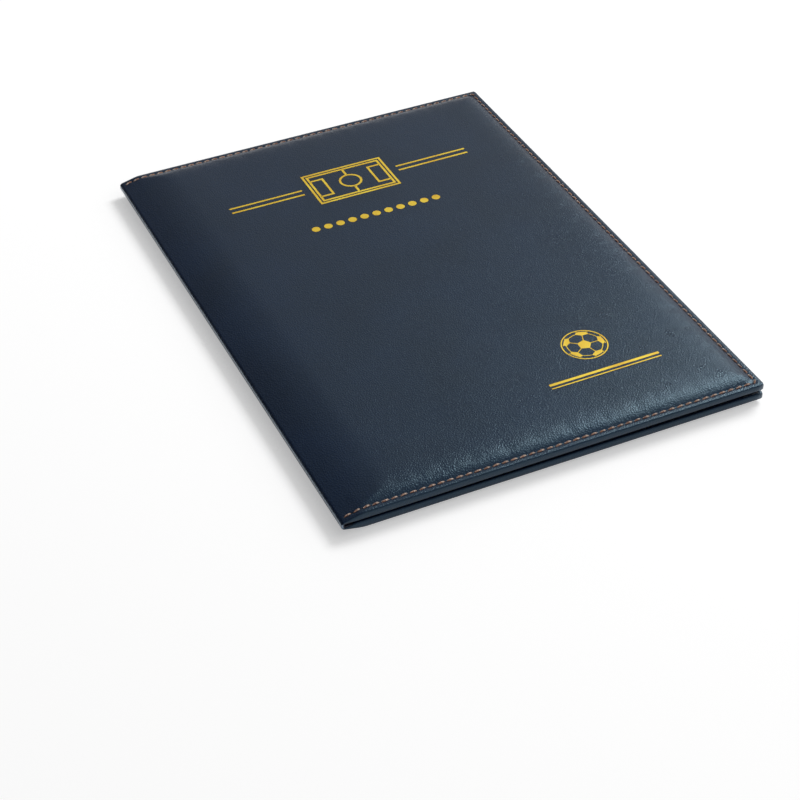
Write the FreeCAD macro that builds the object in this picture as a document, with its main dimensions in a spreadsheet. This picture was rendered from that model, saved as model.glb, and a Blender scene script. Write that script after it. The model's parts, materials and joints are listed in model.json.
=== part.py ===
import FreeCAD, Part
import math
import os
import Sketcher

# A book-style tactics board, shut: two padded leatherette panels that open about one fold.
# X runs from the fold (low) to the open side, Y along the fold, Z up. The origin is the middle of the
# rear cover's resting face. Each panel is drawn in its own frame, which starts on the fold's axis:
# X away from the fold, Y along it, and Z outwards from the plane where the two panels meet.

# Driving dimensions in millimetres
DIMENSIONS = {
    "cover_height": 310.0,
    "cover_width": 219.0,
    "corner_radius": 4.0,
    "edge_gap": 2.5,
    "edge_thickness": 3.3,
    "crown": 1.8,
    "fold_run": 28.0,
    "pillow_run": 11.6,
    "seam_margin": 4.4,
    "leather_thickness": 1.0,
    "lining_thickness": 0.6,
    "lining_inset": 0.4,
    "lining_setback": 2.8,
    "spine_lining_thickness": 0.6,
    "spine_lining_reach": 7.0,
    "border_width": 12.0,
    "window_radius": 3.0,
    "pitch_thickness": 0.5,
    "pitch_setback": 9.0,
    "pitch_overlap": 3.0,
    "sheet_radius": 2.0,
    "steel_thickness": 0.4,
    "board_thickness": 1.2,
    "board_relief": 3.0,
    "foam_setback": 5.0,
    "inner_clearance": 0.1,
    "stitch_inset": 3.2,
    "stitch_pitch": 4.6,
    "stitch_length": 3.3,
    "thread_width": 0.8,
    "thread_height": 0.35,
    "magnet_diameter": 19.0,
    "magnet_thickness": 3.0,
    "magnet_edge": 0.5,
    "magnet_rim": 1.4,
    "magnet_recess": 0.25,
    "ball_diameter": 16.0,
    "glide_clearance": 0.05,
    "red_park": 128.0,
    "blue_park": 90.0,
    "ball_park": 24.0,
    "park_stagger": 6.0,
}

# Counts and angles
PLAYERS = 11
BALL_LANE = 5
LANES = PLAYERS + 1
STITCH_SLANT = 5.0
THREAD_TAPER = 0.55

doc = FreeCAD.newDocument("tactics_board")
dims = doc.addObject("Spreadsheet::Sheet", "dims")
for row, (name, size) in enumerate(DIMENSIONS.items(), start=1):
    dims.set(f"A{row}", name)
    dims.set(f"B{row}", str(size))
    dims.setAlias(f"B{row}", name)
doc.recompute()

# Levels, outwards from the plane where the panels meet
LINING_FACE = "(dims.edge_gap / 2)"
PITCH_FACE = f"({LINING_FACE} + dims.lining_thickness)"
PITCH_BACK = f"({PITCH_FACE} + dims.pitch_thickness)"
STEEL_BACK = f"({PITCH_BACK} + dims.steel_thickness)"
BOARD_BACK = f"({STEEL_BACK} + dims.board_thickness)"
MARGIN_TOP = f"({LINING_FACE} + dims.edge_thickness)"
CROWN_TOP = f"({MARGIN_TOP} + dims.crown)"
FOAM_TOP = f"({CROWN_TOP} - dims.leather_thickness)"
FOLD_RADIUS = f"({LINING_FACE} + dims.leather_thickness)"
SPINE_CORE = f"({LINING_FACE} - dims.spine_lining_thickness)"

# Lengths in the panel's own frame
PANEL_END = f"(dims.cover_width - {FOLD_RADIUS})"
HALF_HEIGHT = "(dims.cover_height / 2)"
FLAT_INSET = "(dims.seam_margin + dims.pillow_run)"

# The cover rolls over to the fold, and to its seams, on arcs that end level with the crown
FOLD_DROP = f"({CROWN_TOP} - {FOLD_RADIUS})"
FOLD_ARC = f"((dims.fold_run ^ 2 + {FOLD_DROP} ^ 2) / (2 * {FOLD_DROP}))"
PILLOW_ARC = "((dims.pillow_run ^ 2 + dims.crown ^ 2) / (2 * dims.crown))"
FOAM_FOLD_ARC = f"({FOLD_ARC} - dims.leather_thickness)"
FOAM_PILLOW_ARC = f"({PILLOW_ARC} - dims.leather_thickness)"
FOAM_AT_FOLD = f"({CROWN_TOP} - {FOLD_ARC} + sqrt({FOAM_FOLD_ARC} ^ 2 - dims.fold_run ^ 2))"

# The stiff sheets stop at the hem where the leather's inner face comes down to the board, and a little
# earlier at the fold, where the foam goes round them
BOARD_DEPTH = f"({CROWN_TOP} - {BOARD_BACK})"
BOARD_RUN = f"sqrt({FOAM_PILLOW_ARC} ^ 2 - ({PILLOW_ARC} - {BOARD_DEPTH}) ^ 2)"
BOARD_FOLD_RUN = f"sqrt({FOAM_FOLD_ARC} ^ 2 - ({FOLD_ARC} - {BOARD_DEPTH}) ^ 2)"
HEM = f"({FLAT_INSET} - {BOARD_RUN})"
STIFF_SETBACK = f"(dims.fold_run - {BOARD_FOLD_RUN} + dims.board_relief)"
SHEET_END = f"({PANEL_END} - {HEM} - dims.inner_clearance)"
SHEET_HALF = f"({HALF_HEIGHT} - {HEM} - dims.inner_clearance)"
WINDOW_SETBACK = "(dims.pitch_setback + dims.pitch_overlap)"
WINDOW_END = f"({PANEL_END} - dims.border_width)"
WINDOW_HALF = f"({HALF_HEIGHT} - dims.border_width)"

# Where the panels' own frames stand
AXIS_X = f"({FOLD_RADIUS} - dims.cover_width / 2)"
AXIS_Z = CROWN_TOP

SIDE_VIEW = FreeCAD.Rotation(FreeCAD.Vector(1, 0, 0), 90)
END_VIEW = FreeCAD.Rotation(FreeCAD.Vector(1, 1, 1), 120)
UPRIGHT = FreeCAD.Rotation()
TURNED_OVER = FreeCAD.Rotation(FreeCAD.Vector(1, 0, 0), 180)
PANELS = {"front": UPRIGHT, "rear": TURNED_OVER}

nodes = []


def number(formula):
    """The value of a formula on the sheet."""
    return float(dims.evalExpression(formula))


def keep(solid, label):
    """Take an object in as a finished piece under its own name."""
    solid.Label = label
    nodes.append(solid)
    return solid


def stand(solid, x, y, z, rotation=UPRIGHT):
    """Place a finished piece, with its place tied to the sheet."""
    solid.Placement = FreeCAD.Placement(FreeCAD.Vector(number(x), number(y), number(z)), rotation)
    solid.setExpression("Placement.Base.x", x)
    solid.setExpression("Placement.Base.y", y)
    solid.setExpression("Placement.Base.z", z)


def arc_between(start, end, over):
    """An arc whose centre stands straight above or below one of its ends, on the outside of the outline."""
    level, far = (start, end) if over == "start" else (end, start)
    centre_y = ((far.x - level.x) ** 2 + far.y ** 2 - level.y ** 2) / (2 * (far.y - level.y))
    centre = FreeCAD.Vector(level.x, centre_y, 0)
    chord = end - start
    outward = FreeCAD.Vector(chord.y, -chord.x, 0).normalize()
    return Part.Arc(start, centre + outward * start.distanceToPoint(centre), end)


def draw_outline(sketch, corners):
    """Draw a closed outline anticlockwise, each corner tied to the sheet.

    A corner is (across, up, edge). The edge that leaves it is a line, or an arc with its centre straight
    above or below the arc's "start" or "end".
    """
    places = [FreeCAD.Vector(number(across), number(up), 0) for across, up, edge in corners]
    count = len(corners)
    for index, (across, up, edge) in enumerate(corners):
        start = places[index]
        end = places[(index + 1) % count]
        if edge == "line":
            sketch.addGeometry(Part.LineSegment(start, end), False)
        else:
            sketch.addGeometry(arc_between(start, end, edge), False)
    first_ends = []
    for index in range(count):
        drawn = sketch.Geometry[index]
        from_start = drawn.StartPoint.distanceToPoint(places[index])
        from_end = drawn.EndPoint.distanceToPoint(places[index])
        first_ends.append(1 if from_start < from_end else 2)
    for index, (across, up, edge) in enumerate(corners):
        following = (index + 1) % count
        last_end = 3 - first_ends[index]
        sketch.addConstraint(
            Sketcher.Constraint("Coincident", index, last_end, following, first_ends[following])
        )
        tie_corner(sketch, index, first_ends[index], "DistanceX", across, -2)
        tie_corner(sketch, index, first_ends[index], "DistanceY", up, -1)
        if edge != "line":
            level_end = first_ends[index] if edge == "start" else last_end
            sketch.addConstraint(Sketcher.Constraint("Vertical", index, 3, index, level_end))
    doc.recompute()


def tie_corner(sketch, edge, end, direction, formula, axis):
    """Tie one corner of an outline to the sheet in one direction, or to the sketch's own axis."""
    if formula == "0":
        sketch.addConstraint(Sketcher.Constraint("PointOnObject", edge, end, axis))
        return
    constraint = sketch.addConstraint(Sketcher.Constraint(direction, -1, 1, edge, end, number(formula)))
    sketch.setExpression(f"Constraints[{constraint}]", formula)


def rounded_open_side(start, end, half, radius):
    """A plate's outline with square corners at the fold and round ones at the open side."""
    return [
        (start, f"-{half}", "line"),
        (f"{end} - {radius}", f"-{half}", "start"),
        (end, f"{radius} - {half}", "line"),
        (end, f"{half} - {radius}", "end"),
        (f"{end} - {radius}", half, "line"),
        (start, half, "line"),
    ]


def swept_profile(name, corners, length, rotation, symmetric=True):
    """A solid of one profile, drawn in the side, end or top view and drawn out square to it."""
    sketch = doc.addObject("Sketcher::SketchObject", f"{name}_profile")
    sketch.Placement = FreeCAD.Placement(FreeCAD.Vector(), rotation)
    draw_outline(sketch, corners)
    solid = doc.addObject("Part::Extrusion", name)
    solid.Base = sketch
    solid.DirMode = "Normal"
    solid.Solid = True
    solid.Symmetric = symmetric
    solid.setExpression("LengthFwd", length)
    return solid


def common(name, *shapes):
    """What several solids share."""
    solid = doc.addObject("Part::MultiCommon", name)
    solid.Shapes = list(shapes)
    return solid


def cut(name, base, tool):
    """A solid with another one taken out of it."""
    solid = doc.addObject("Part::Cut", name)
    solid.Base = base
    solid.Tool = tool
    return solid


def origin_plane(body, role):
    """One of a body's own origin planes."""
    return next(plane for plane in body.Origin.OriginFeatures if plane.Role == role)


def attached_sketch(body, name, role, corners, level="0"):
    """A sketch on one of the body's origin planes, lifted to a level."""
    sketch = body.newObject("Sketcher::SketchObject", name)
    sketch.AttachmentSupport = [(origin_plane(body, role), "")]
    sketch.MapMode = "FlatFace"
    sketch.setExpression("AttachmentOffset.Base.z", level)
    draw_outline(sketch, corners)
    return sketch


def plate(name, corners, level, thickness):
    """A flat sheet, as a padded outline."""
    body = doc.addObject("PartDesign::Body", name)
    sketch = attached_sketch(body, f"{name}_outline", "XY_Plane", corners, level)
    pad = body.newObject("PartDesign::Pad", f"{name}_pad")
    pad.Profile = sketch
    pad.setExpression("Length", thickness)
    body.Tip = pad
    doc.recompute()
    return body


def pocket_through(body, name, corners, level, thickness):
    """Cut a window right through a plate, upwards from its lower face, and check that it removed stock."""
    before = body.Shape.Volume
    sketch = attached_sketch(body, f"{name}_window", "XY_Plane", corners, level)
    pocket = body.newObject("PartDesign::Pocket", f"{name}_pocket")
    pocket.Profile = sketch
    pocket.Reversed = True
    pocket.setExpression("Length", thickness)
    body.Tip = pocket
    doc.recompute()
    if body.Shape.Volume >= before:
        raise RuntimeError(f"the window of {name} cut nothing")


def stand_panel_piece(solid, panel):
    """Place a piece drawn in a panel's frame."""
    stand(solid, AXIS_X, "0", AXIS_Z, PANELS[panel])


# Cover leather: a tray with a hem on three sides, a crown over the padding and a roll down to the fold
def cover_outside(panel):
    name = f"{panel}_cover"
    lining_step = "(dims.lining_setback - dims.inner_clearance)"
    seam_side = f"{PANEL_END} - dims.seam_margin"
    seam_half = f"({HALF_HEIGHT} - dims.seam_margin)"
    flat_half = f"({HALF_HEIGHT} - {FLAT_INSET})"
    side = [
        ("0", LINING_FACE, "line"),
        (lining_step, LINING_FACE, "line"),
        (lining_step, PITCH_FACE, "line"),
        (PANEL_END, PITCH_FACE, "line"),
        (PANEL_END, MARGIN_TOP, "line"),
        (seam_side, MARGIN_TOP, "end"),
        (f"{PANEL_END} - {FLAT_INSET}", CROWN_TOP, "line"),
        ("dims.fold_run", CROWN_TOP, "start"),
        ("0", FOLD_RADIUS, "line"),
    ]
    end = [
        (f"-{HALF_HEIGHT}", "0", "line"),
        (HALF_HEIGHT, "0", "line"),
        (HALF_HEIGHT, MARGIN_TOP, "line"),
        (seam_half, MARGIN_TOP, "end"),
        (flat_half, CROWN_TOP, "line"),
        (f"-{flat_half}", CROWN_TOP, "start"),
        (f"-{seam_half}", MARGIN_TOP, "line"),
        (f"-{HALF_HEIGHT}", MARGIN_TOP, "line"),
    ]
    top = rounded_open_side("0", PANEL_END, HALF_HEIGHT, "dims.corner_radius")
    return common(
        f"{name}_outside",
        swept_profile(f"{name}_side", side, "dims.cover_height", SIDE_VIEW),
        swept_profile(f"{name}_end", end, f"2 * {PANEL_END}", END_VIEW),
        swept_profile(f"{name}_top", top, f"{CROWN_TOP}", UPRIGHT, symmetric=False),
    )


def cover_inside(panel, use):
    """The room inside a cover, under the leather and within the hem."""
    name = f"{panel}_{use}"
    hem_end = f"({PANEL_END} - {HEM})"
    hem_half = f"({HALF_HEIGHT} - {HEM})"
    flat_half = f"({HALF_HEIGHT} - {FLAT_INSET})"
    side = [
        ("0", "0", "line"),
        (hem_end, "0", "line"),
        (hem_end, BOARD_BACK, "end"),
        (f"{PANEL_END} - {FLAT_INSET}", FOAM_TOP, "line"),
        ("dims.fold_run", FOAM_TOP, "start"),
        ("0", FOAM_AT_FOLD, "line"),
    ]
    end = [
        (f"-{hem_half}", "0", "line"),
        (hem_half, "0", "line"),
        (hem_half, BOARD_BACK, "end"),
        (flat_half, FOAM_TOP, "line"),
        (f"-{flat_half}", FOAM_TOP, "start"),
        (f"-{hem_half}", BOARD_BACK, "line"),
    ]
    return common(
        f"{name}_room",
        swept_profile(f"{name}_room_side", side, "dims.cover_height", SIDE_VIEW),
        swept_profile(f"{name}_room_end", end, f"2 * {PANEL_END}", END_VIEW),
    )


def cover_leather(panel):
    leather = cut(f"{panel}_leather", cover_outside(panel), cover_inside(panel, "leather"))
    stand_panel_piece(keep(leather, f"{panel}_cover_leather"), panel)


# Foam pad: fills the room between the leather and the stiff sheets, with a nose that tapers into the fold
def foam_pad(panel):
    stiff_step = f"({STIFF_SETBACK} - dims.inner_clearance)"
    pitch_step = "(dims.pitch_setback - dims.inner_clearance)"
    stiff_sheets = [
        ("0", "0", "line"),
        (PANEL_END, "0", "line"),
        (PANEL_END, BOARD_BACK, "line"),
        (stiff_step, BOARD_BACK, "line"),
        (stiff_step, PITCH_BACK, "line"),
        (pitch_step, PITCH_BACK, "line"),
        (pitch_step, PITCH_FACE, "line"),
        ("dims.foam_setback", PITCH_FACE, "line"),
        ("dims.foam_setback", CROWN_TOP, "line"),
        ("0", CROWN_TOP, "line"),
    ]
    taken = swept_profile(f"{panel}_stiff_sheets", stiff_sheets, "dims.cover_height", SIDE_VIEW)
    foam = cut(f"{panel}_foam", cover_inside(panel, "foam"), taken)
    stand_panel_piece(keep(foam, f"{panel}_foam_pad"), panel)


# Stiff sheets and lining
def backing_board(panel):
    outline = rounded_open_side(STIFF_SETBACK, SHEET_END, SHEET_HALF, "dims.sheet_radius")
    board = plate(f"{panel}_board", outline, STEEL_BACK, "dims.board_thickness")
    stand_panel_piece(keep(board, f"{panel}_backing_board"), panel)


def steel_sheet(panel):
    outline = rounded_open_side(STIFF_SETBACK, SHEET_END, SHEET_HALF, "dims.sheet_radius")
    steel = plate(f"{panel}_steel", outline, PITCH_BACK, "dims.steel_thickness")
    stand_panel_piece(keep(steel, f"{panel}_steel_sheet"), panel)


def pitch_sheet(panel):
    outline = rounded_open_side("dims.pitch_setback", SHEET_END, SHEET_HALF, "dims.sheet_radius")
    pitch = plate(f"{panel}_pitch", outline, PITCH_FACE, "dims.pitch_thickness")
    stand_panel_piece(keep(pitch, f"{panel}_pitch_sheet"), panel)


def border_lining(panel):
    outside = rounded_open_side(
        "dims.lining_setback",
        f"({PANEL_END} - dims.lining_inset)",
        f"({HALF_HEIGHT} - dims.lining_inset)",
        "(dims.corner_radius - dims.lining_inset)",
    )
    window = [
        (f"{WINDOW_SETBACK} + dims.window_radius", f"-{WINDOW_HALF}", "line"),
        (f"{WINDOW_END} - dims.window_radius", f"-{WINDOW_HALF}", "start"),
        (WINDOW_END, f"dims.window_radius - {WINDOW_HALF}", "line"),
        (WINDOW_END, f"{WINDOW_HALF} - dims.window_radius", "end"),
        (f"{WINDOW_END} - dims.window_radius", WINDOW_HALF, "line"),
        (f"{WINDOW_SETBACK} + dims.window_radius", WINDOW_HALF, "start"),
        (WINDOW_SETBACK, f"{WINDOW_HALF} - dims.window_radius", "line"),
        (WINDOW_SETBACK, f"dims.window_radius - {WINDOW_HALF}", "end"),
    ]
    lining = plate(f"{panel}_lining", outside, LINING_FACE, "dims.lining_thickness")
    pocket_through(lining, f"{panel}_lining", window, LINING_FACE, "dims.lining_thickness")
    stand_panel_piece(keep(lining, f"{panel}_border_lining"), panel)


# Seam thread: a row of slanted stitches on the hem, on three sides
def margin_surface(along):
    """Height and slope of the hem's outer face at a distance from the fold's axis."""
    reach = max(number("dims.fold_run") - along, 0.0)
    radius = number(FOLD_ARC)
    height = number(CROWN_TOP) - radius + math.sqrt(radius ** 2 - reach ** 2)
    if height >= number(MARGIN_TOP):
        return number(MARGIN_TOP), 0.0
    return height, math.degrees(math.asin(reach / radius))


def stitch(x, y, heading):
    """One stitch, a bar that lies on the leather and tapers from its foot to its top."""
    length = number("dims.stitch_length")
    width = number("dims.thread_width")
    height = number("dims.thread_height")
    inset = THREAD_TAPER * height
    bar = Part.makeWedge(
        -length / 2, 0, -width / 2, inset - width / 2, inset - length / 2,
        length / 2, height, width / 2, width / 2 - inset, length / 2 - inset,
    )
    level, slope = margin_surface(x)
    turn = FreeCAD.Rotation(FreeCAD.Vector(0, -1, 0), slope)
    turn = turn.multiply(FreeCAD.Rotation(FreeCAD.Vector(0, 0, 1), heading + STITCH_SLANT))
    bar.Placement = FreeCAD.Placement(FreeCAD.Vector(x, y, level), turn.multiply(SIDE_VIEW))
    return bar


def spread(first, last):
    """Evenly spaced stitch centres over a stretch of seam, near the wanted pitch."""
    count = int((last - first) / number("dims.stitch_pitch"))
    step = (last - first) / count
    return [first + (index + 0.5) * step for index in range(count)]


def seam_thread(panel):
    side_line = number(f"{PANEL_END} - dims.stitch_inset")
    end_line = number(f"{HALF_HEIGHT} - dims.stitch_inset")
    stitches = []
    for x in spread(0.0, side_line):
        stitches.append(stitch(x, -end_line, 0.0))
        stitches.append(stitch(x, end_line, 180.0))
    for y in spread(-end_line, end_line):
        stitches.append(stitch(side_line, y, 90.0))
    thread = doc.addObject("Part::Feature", f"{panel}_thread")
    thread.Shape = Part.makeCompound(stitches)
    stand_panel_piece(keep(thread, f"{panel}_seam_thread"), panel)


# Spine: the leather's crease and the lining strip inside it, both bent round the fold's axis
def spine_pieces():
    crease = cut("spine_leather", half_rod("outer", FOLD_RADIUS), half_rod("inner", LINING_FACE))
    keep(crease, "spine_cover_leather")
    stand(crease, AXIS_X, HALF_HEIGHT, AXIS_Z, SIDE_VIEW)
    strip = doc.addObject("PartDesign::Body", "spine_strip")
    around_fold = [
        ("0", f"-{LINING_FACE}", "line"),
        ("dims.spine_lining_reach", f"-{LINING_FACE}", "line"),
        ("dims.spine_lining_reach", LINING_FACE, "line"),
        ("0", LINING_FACE, "start"),
    ]
    hollow = [
        ("0", f"-{SPINE_CORE}", "line"),
        ("dims.spine_lining_reach", f"-{SPINE_CORE}", "line"),
        ("dims.spine_lining_reach", SPINE_CORE, "line"),
        ("0", SPINE_CORE, "start"),
    ]
    pad = strip.newObject("PartDesign::Pad", "spine_strip_pad")
    pad.Profile = attached_sketch(strip, "spine_strip_outline", "XZ_Plane", around_fold)
    pad.SideType = "Symmetric"
    pad.setExpression("Length", "dims.cover_height")
    strip.Tip = pad
    doc.recompute()
    before = strip.Shape.Volume
    pocket = strip.newObject("PartDesign::Pocket", "spine_strip_pocket")
    pocket.Profile = attached_sketch(strip, "spine_strip_hollow", "XZ_Plane", hollow)
    pocket.SideType = "Symmetric"
    pocket.setExpression("Length", "dims.cover_height")
    strip.Tip = pocket
    doc.recompute()
    if strip.Shape.Volume >= before:
        raise RuntimeError("the hollow of the spine lining cut nothing")
    keep(strip, "spine_lining")
    stand(strip, AXIS_X, "0", AXIS_Z)


def half_rod(name, radius):
    """A half rod along the fold, on the side away from the panels."""
    rod = doc.addObject("Part::Cylinder", f"spine_{name}_rod")
    rod.Angle = 180
    rod.setExpression("Radius", radius)
    rod.setExpression("Height", "dims.cover_height")
    rod.Placement = FreeCAD.Placement(FreeCAD.Vector(), FreeCAD.Rotation(FreeCAD.Vector(0, 0, 1), 90))
    return rod


# Magnets: moulded discs with broken edges and a raised rim about the printed face
def magnet(label, diameter, x, y, panel):
    radius = f"({diameter} / 2)"
    rim = f"({radius} - dims.magnet_rim)"
    face = "(dims.magnet_thickness - dims.magnet_recess)"
    half_section = [
        ("0", "0", "line"),
        (f"{radius} - dims.magnet_edge", "0", "line"),
        (radius, "dims.magnet_edge", "line"),
        (radius, "dims.magnet_thickness - dims.magnet_edge", "line"),
        (f"{radius} - dims.magnet_edge", "dims.magnet_thickness", "line"),
        (rim, "dims.magnet_thickness", "line"),
        (rim, face, "line"),
        ("0", face, "line"),
    ]
    body = doc.addObject("PartDesign::Body", f"{label}_body")
    sketch = attached_sketch(body, f"{label}_section", "XZ_Plane", half_section)
    turned = body.newObject("PartDesign::Revolution", f"{label}_turned")
    turned.Profile = sketch
    turned.ReferenceAxis = (sketch, ["V_Axis"])
    turned.Angle = 360
    body.Tip = turned
    doc.recompute()
    keep(body, label)
    lift = f"({PITCH_FACE} - dims.glide_clearance)"
    if panel == "rear":
        stand(body, f"{AXIS_X} + {x}", y, f"{AXIS_Z} - {lift}")
    else:
        stand(body, f"{AXIS_X} + {x}", y, f"{AXIS_Z} + {lift}", TURNED_OVER)


def lane(index):
    """The middle of one of the lanes that share the window's height."""
    return f"(2 * {WINDOW_HALF} * ({index} + 0.5) / {LANES} - {WINDOW_HALF})"


def magnet_set():
    player_lanes = [index for index in range(LANES) if index != BALL_LANE]
    for player, index in enumerate(player_lanes, start=1):
        side = "+" if index % 2 else "-"
        red_place = f"(dims.red_park {side} dims.park_stagger)"
        blue_place = f"(dims.blue_park {side} dims.park_stagger)"
        magnet(f"red_magnet_{player:02d}", "dims.magnet_diameter", red_place, lane(index), "rear")
        magnet(f"blue_magnet_{player:02d}", "dims.magnet_diameter", blue_place, lane(index), "front")
    magnet("ball_magnet", "dims.ball_diameter", "dims.ball_park", lane(BALL_LANE), "rear")


def check_and_write():
    """Write every piece, once nothing in the document has failed."""
    doc.recompute()
    for item in doc.Objects:
        if "Invalid" in item.State or "Error" in item.State:
            raise RuntimeError(f"{item.Label} failed: {item.State}")
    for piece in nodes:
        if piece.Shape.isNull() or not piece.Shape.isValid():
            raise RuntimeError(f"{piece.Label} has no sound shape")
    os.makedirs("parts", exist_ok=True)
    for piece in nodes:
        piece.Shape.exportStep(f"parts/{piece.Label}.step")
        print(piece.Label, len(piece.Shape.Solids), round(piece.Shape.Volume, 2))


for panel in PANELS:
    cover_leather(panel)
    foam_pad(panel)
    backing_board(panel)
    steel_sheet(panel)
    pitch_sheet(panel)
    border_lining(panel)
    seam_thread(panel)
spine_pieces()
magnet_set()
check_and_write()
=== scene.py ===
import json
import math
from contextlib import contextmanager

import bmesh
import bpy
import numpy as np
from mathutils import Matrix, Vector


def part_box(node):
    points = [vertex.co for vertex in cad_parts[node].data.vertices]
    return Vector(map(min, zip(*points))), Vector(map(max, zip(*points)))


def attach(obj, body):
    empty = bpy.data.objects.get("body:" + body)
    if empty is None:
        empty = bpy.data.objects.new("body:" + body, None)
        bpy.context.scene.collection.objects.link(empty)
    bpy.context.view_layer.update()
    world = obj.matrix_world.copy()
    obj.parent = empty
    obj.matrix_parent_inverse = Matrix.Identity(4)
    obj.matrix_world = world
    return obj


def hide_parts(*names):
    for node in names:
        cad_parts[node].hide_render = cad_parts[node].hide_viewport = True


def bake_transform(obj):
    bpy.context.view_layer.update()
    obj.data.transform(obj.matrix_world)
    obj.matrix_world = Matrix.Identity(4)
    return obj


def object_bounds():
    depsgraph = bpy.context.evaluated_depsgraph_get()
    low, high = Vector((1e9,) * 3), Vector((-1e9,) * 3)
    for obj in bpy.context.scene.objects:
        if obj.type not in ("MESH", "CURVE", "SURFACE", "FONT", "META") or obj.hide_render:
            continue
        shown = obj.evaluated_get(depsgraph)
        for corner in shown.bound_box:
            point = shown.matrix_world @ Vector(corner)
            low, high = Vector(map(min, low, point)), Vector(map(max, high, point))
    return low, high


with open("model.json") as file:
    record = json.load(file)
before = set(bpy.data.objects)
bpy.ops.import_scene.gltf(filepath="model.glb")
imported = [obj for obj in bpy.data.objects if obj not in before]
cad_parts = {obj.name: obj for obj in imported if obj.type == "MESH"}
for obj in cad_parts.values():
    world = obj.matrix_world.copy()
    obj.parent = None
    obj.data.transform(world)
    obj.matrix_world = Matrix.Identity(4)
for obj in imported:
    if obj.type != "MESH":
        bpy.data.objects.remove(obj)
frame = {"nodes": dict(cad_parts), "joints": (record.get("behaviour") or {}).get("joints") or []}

# A book-style tactics board, shut: two padded leatherette panels that open about one fold, with a magnetic
# pitch inside. Each panel is drawn in its own frame: u away from the fold, v along it and d outwards from the
# plane where the panels meet. The rear panel is the front one turned half over about the X axis.

MM = 0.001
cad_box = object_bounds()

# Sizes read from the frame
fold_joint = next(joint for joint in frame["joints"] if joint["name"] == "cover_fold")
AXIS_X = fold_joint["pos_m"][0]
AXIS_Z = fold_joint["pos_m"][2]
cover_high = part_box("front_cover_leather")[1]
lining_low, lining_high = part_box("front_border_lining")
PANEL_END = cover_high.x - AXIS_X
HALF_HEIGHT = cover_high.y
CROWN_TOP = cover_high.z - AXIS_Z
LINING_FACE = lining_low.z - AXIS_Z
PITCH_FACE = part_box("front_pitch_sheet")[0].z - AXIS_Z
BOARD_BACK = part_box("front_backing_board")[1].z - AXIS_Z
LINING_START = lining_low.x - AXIS_X
LINING_END = lining_high.x - AXIS_X
LINING_HALF = lining_high.y

PANELS = ("front", "rear")
BODY = {"front": "front_panel", "rear": "rear_panel"}
SIDE = {"front": 1.0, "rear": -1.0}
COVER_SEED = {"front": 101, "rear": 211}
LEATHER_SKIN = 0.5 * MM
CONTACT = 0.02 * MM
SHARP_TURN = math.radians(60)


def place(panel, u, v, d):
    """Points in the shared frame of points in a panel's own frame."""
    side = SIDE[panel]
    return np.stack([AXIS_X + np.asarray(u), side * np.asarray(v), AXIS_Z + side * np.asarray(d)], axis=-1)


# Node helpers
def colour(red, green, blue):
    """A colour given as it looks on a screen, from 0 to 255, for a shader."""
    linear = []
    for part in (red, green, blue):
        share = part / 255.0
        linear.append(share / 12.92 if share <= 0.04045 else ((share + 0.055) / 1.055) ** 2.4)
    return (*linear, 1.0)


def spaced(values):
    """Values by socket label, from values by keyword."""
    return {label.replace("_", " "): value for label, value in values.items()}


class Nodes:
    """A node tree that is built up by short calls. Each input is a value or a socket to read from."""

    def __init__(self, tree, where=None):
        self.tree = tree
        self.where = where

    def feed(self, sockets, sources):
        """Set or link sockets, by label or by number."""
        for label, value in sources.items():
            if isinstance(value, bpy.types.NodeSocket):
                self.tree.links.new(value, sockets[label])
            else:
                sockets[label].default_value = value

    def add(self, kind, inputs=None, **settings):
        """Add a node with its settings and inputs, and return its outputs."""
        made = self.tree.nodes.new(kind)
        for name, value in settings.items():
            setattr(made, name, value)
        self.feed(made.inputs, inputs or {})
        return made.outputs

    def maths(self, operation, first, second, clamp=False):
        """One value from two."""
        return self.add("ShaderNodeMath", {0: first, 1: second}, operation=operation, use_clamp=clamp)[0]

    def plus(self, first, second):
        """A sum."""
        return self.maths("ADD", first, second)

    def times(self, first, second):
        """A product."""
        return self.maths("MULTIPLY", first, second)

    def vector(self, operation, inputs):
        """One vector from others."""
        return self.add("ShaderNodeVectorMath", inputs, operation=operation)[0]

    def ranged(self, value, low, high, to_low=0.0, to_high=1.0):
        """A value carried from one range to another, and held at its ends."""
        return self.add("ShaderNodeMapRange", {0: value, 1: low, 2: high, 3: to_low, 4: to_high})[0]

    def mixed(self, share, first, second):
        """A colour between two, each a socket or red, green and blue from 0 to 255."""
        ends = [end if isinstance(end, bpy.types.NodeSocket) else colour(*end) for end in (first, second)]
        return self.add("ShaderNodeMix", {0: share, 6: ends[0], 7: ends[1]}, data_type="RGBA")[2]

    def noise(self, size, detail=2.0, roughness=0.5, where=None, output="Fac"):
        """Noise of a size in metres, or with a socket that gives its scale."""
        scale = size if isinstance(size, bpy.types.NodeSocket) else 1.0 / size
        spot = self.where if where is None else where
        inputs = {"Vector": spot, "Scale": scale, "Detail": detail, "Roughness": roughness}
        return self.add("ShaderNodeTexNoise", inputs)[output]

    def streaks(self, lengths, detail, roughness):
        """Noise drawn out to a length along each axis."""
        scale = [1.0 / length for length in lengths]
        where = self.add("ShaderNodeMapping", {"Vector": self.where, "Scale": scale}, vector_type="POINT")[0]
        return self.noise(1.0, detail, roughness, where)

    def bands(self, direction, **inputs):
        """Even bands across a direction."""
        return self.add("ShaderNodeTexWave", inputs, wave_type="BANDS", bands_direction=direction)["Fac"]

    def attribute(self, name):
        """A value that is written on the mesh."""
        return self.add("ShaderNodeAttribute", attribute_name=name, attribute_type="GEOMETRY")["Fac"]

    def relief(self, height, depth, strength=1.0, under=None):
        """A normal that a height tilts, over another relief if one is given."""
        inputs = {"Height": height, "Distance": depth, "Strength": strength}
        if under is not None:
            inputs["Normal"] = under
        return self.add("ShaderNodeBump", inputs)["Normal"]


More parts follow.
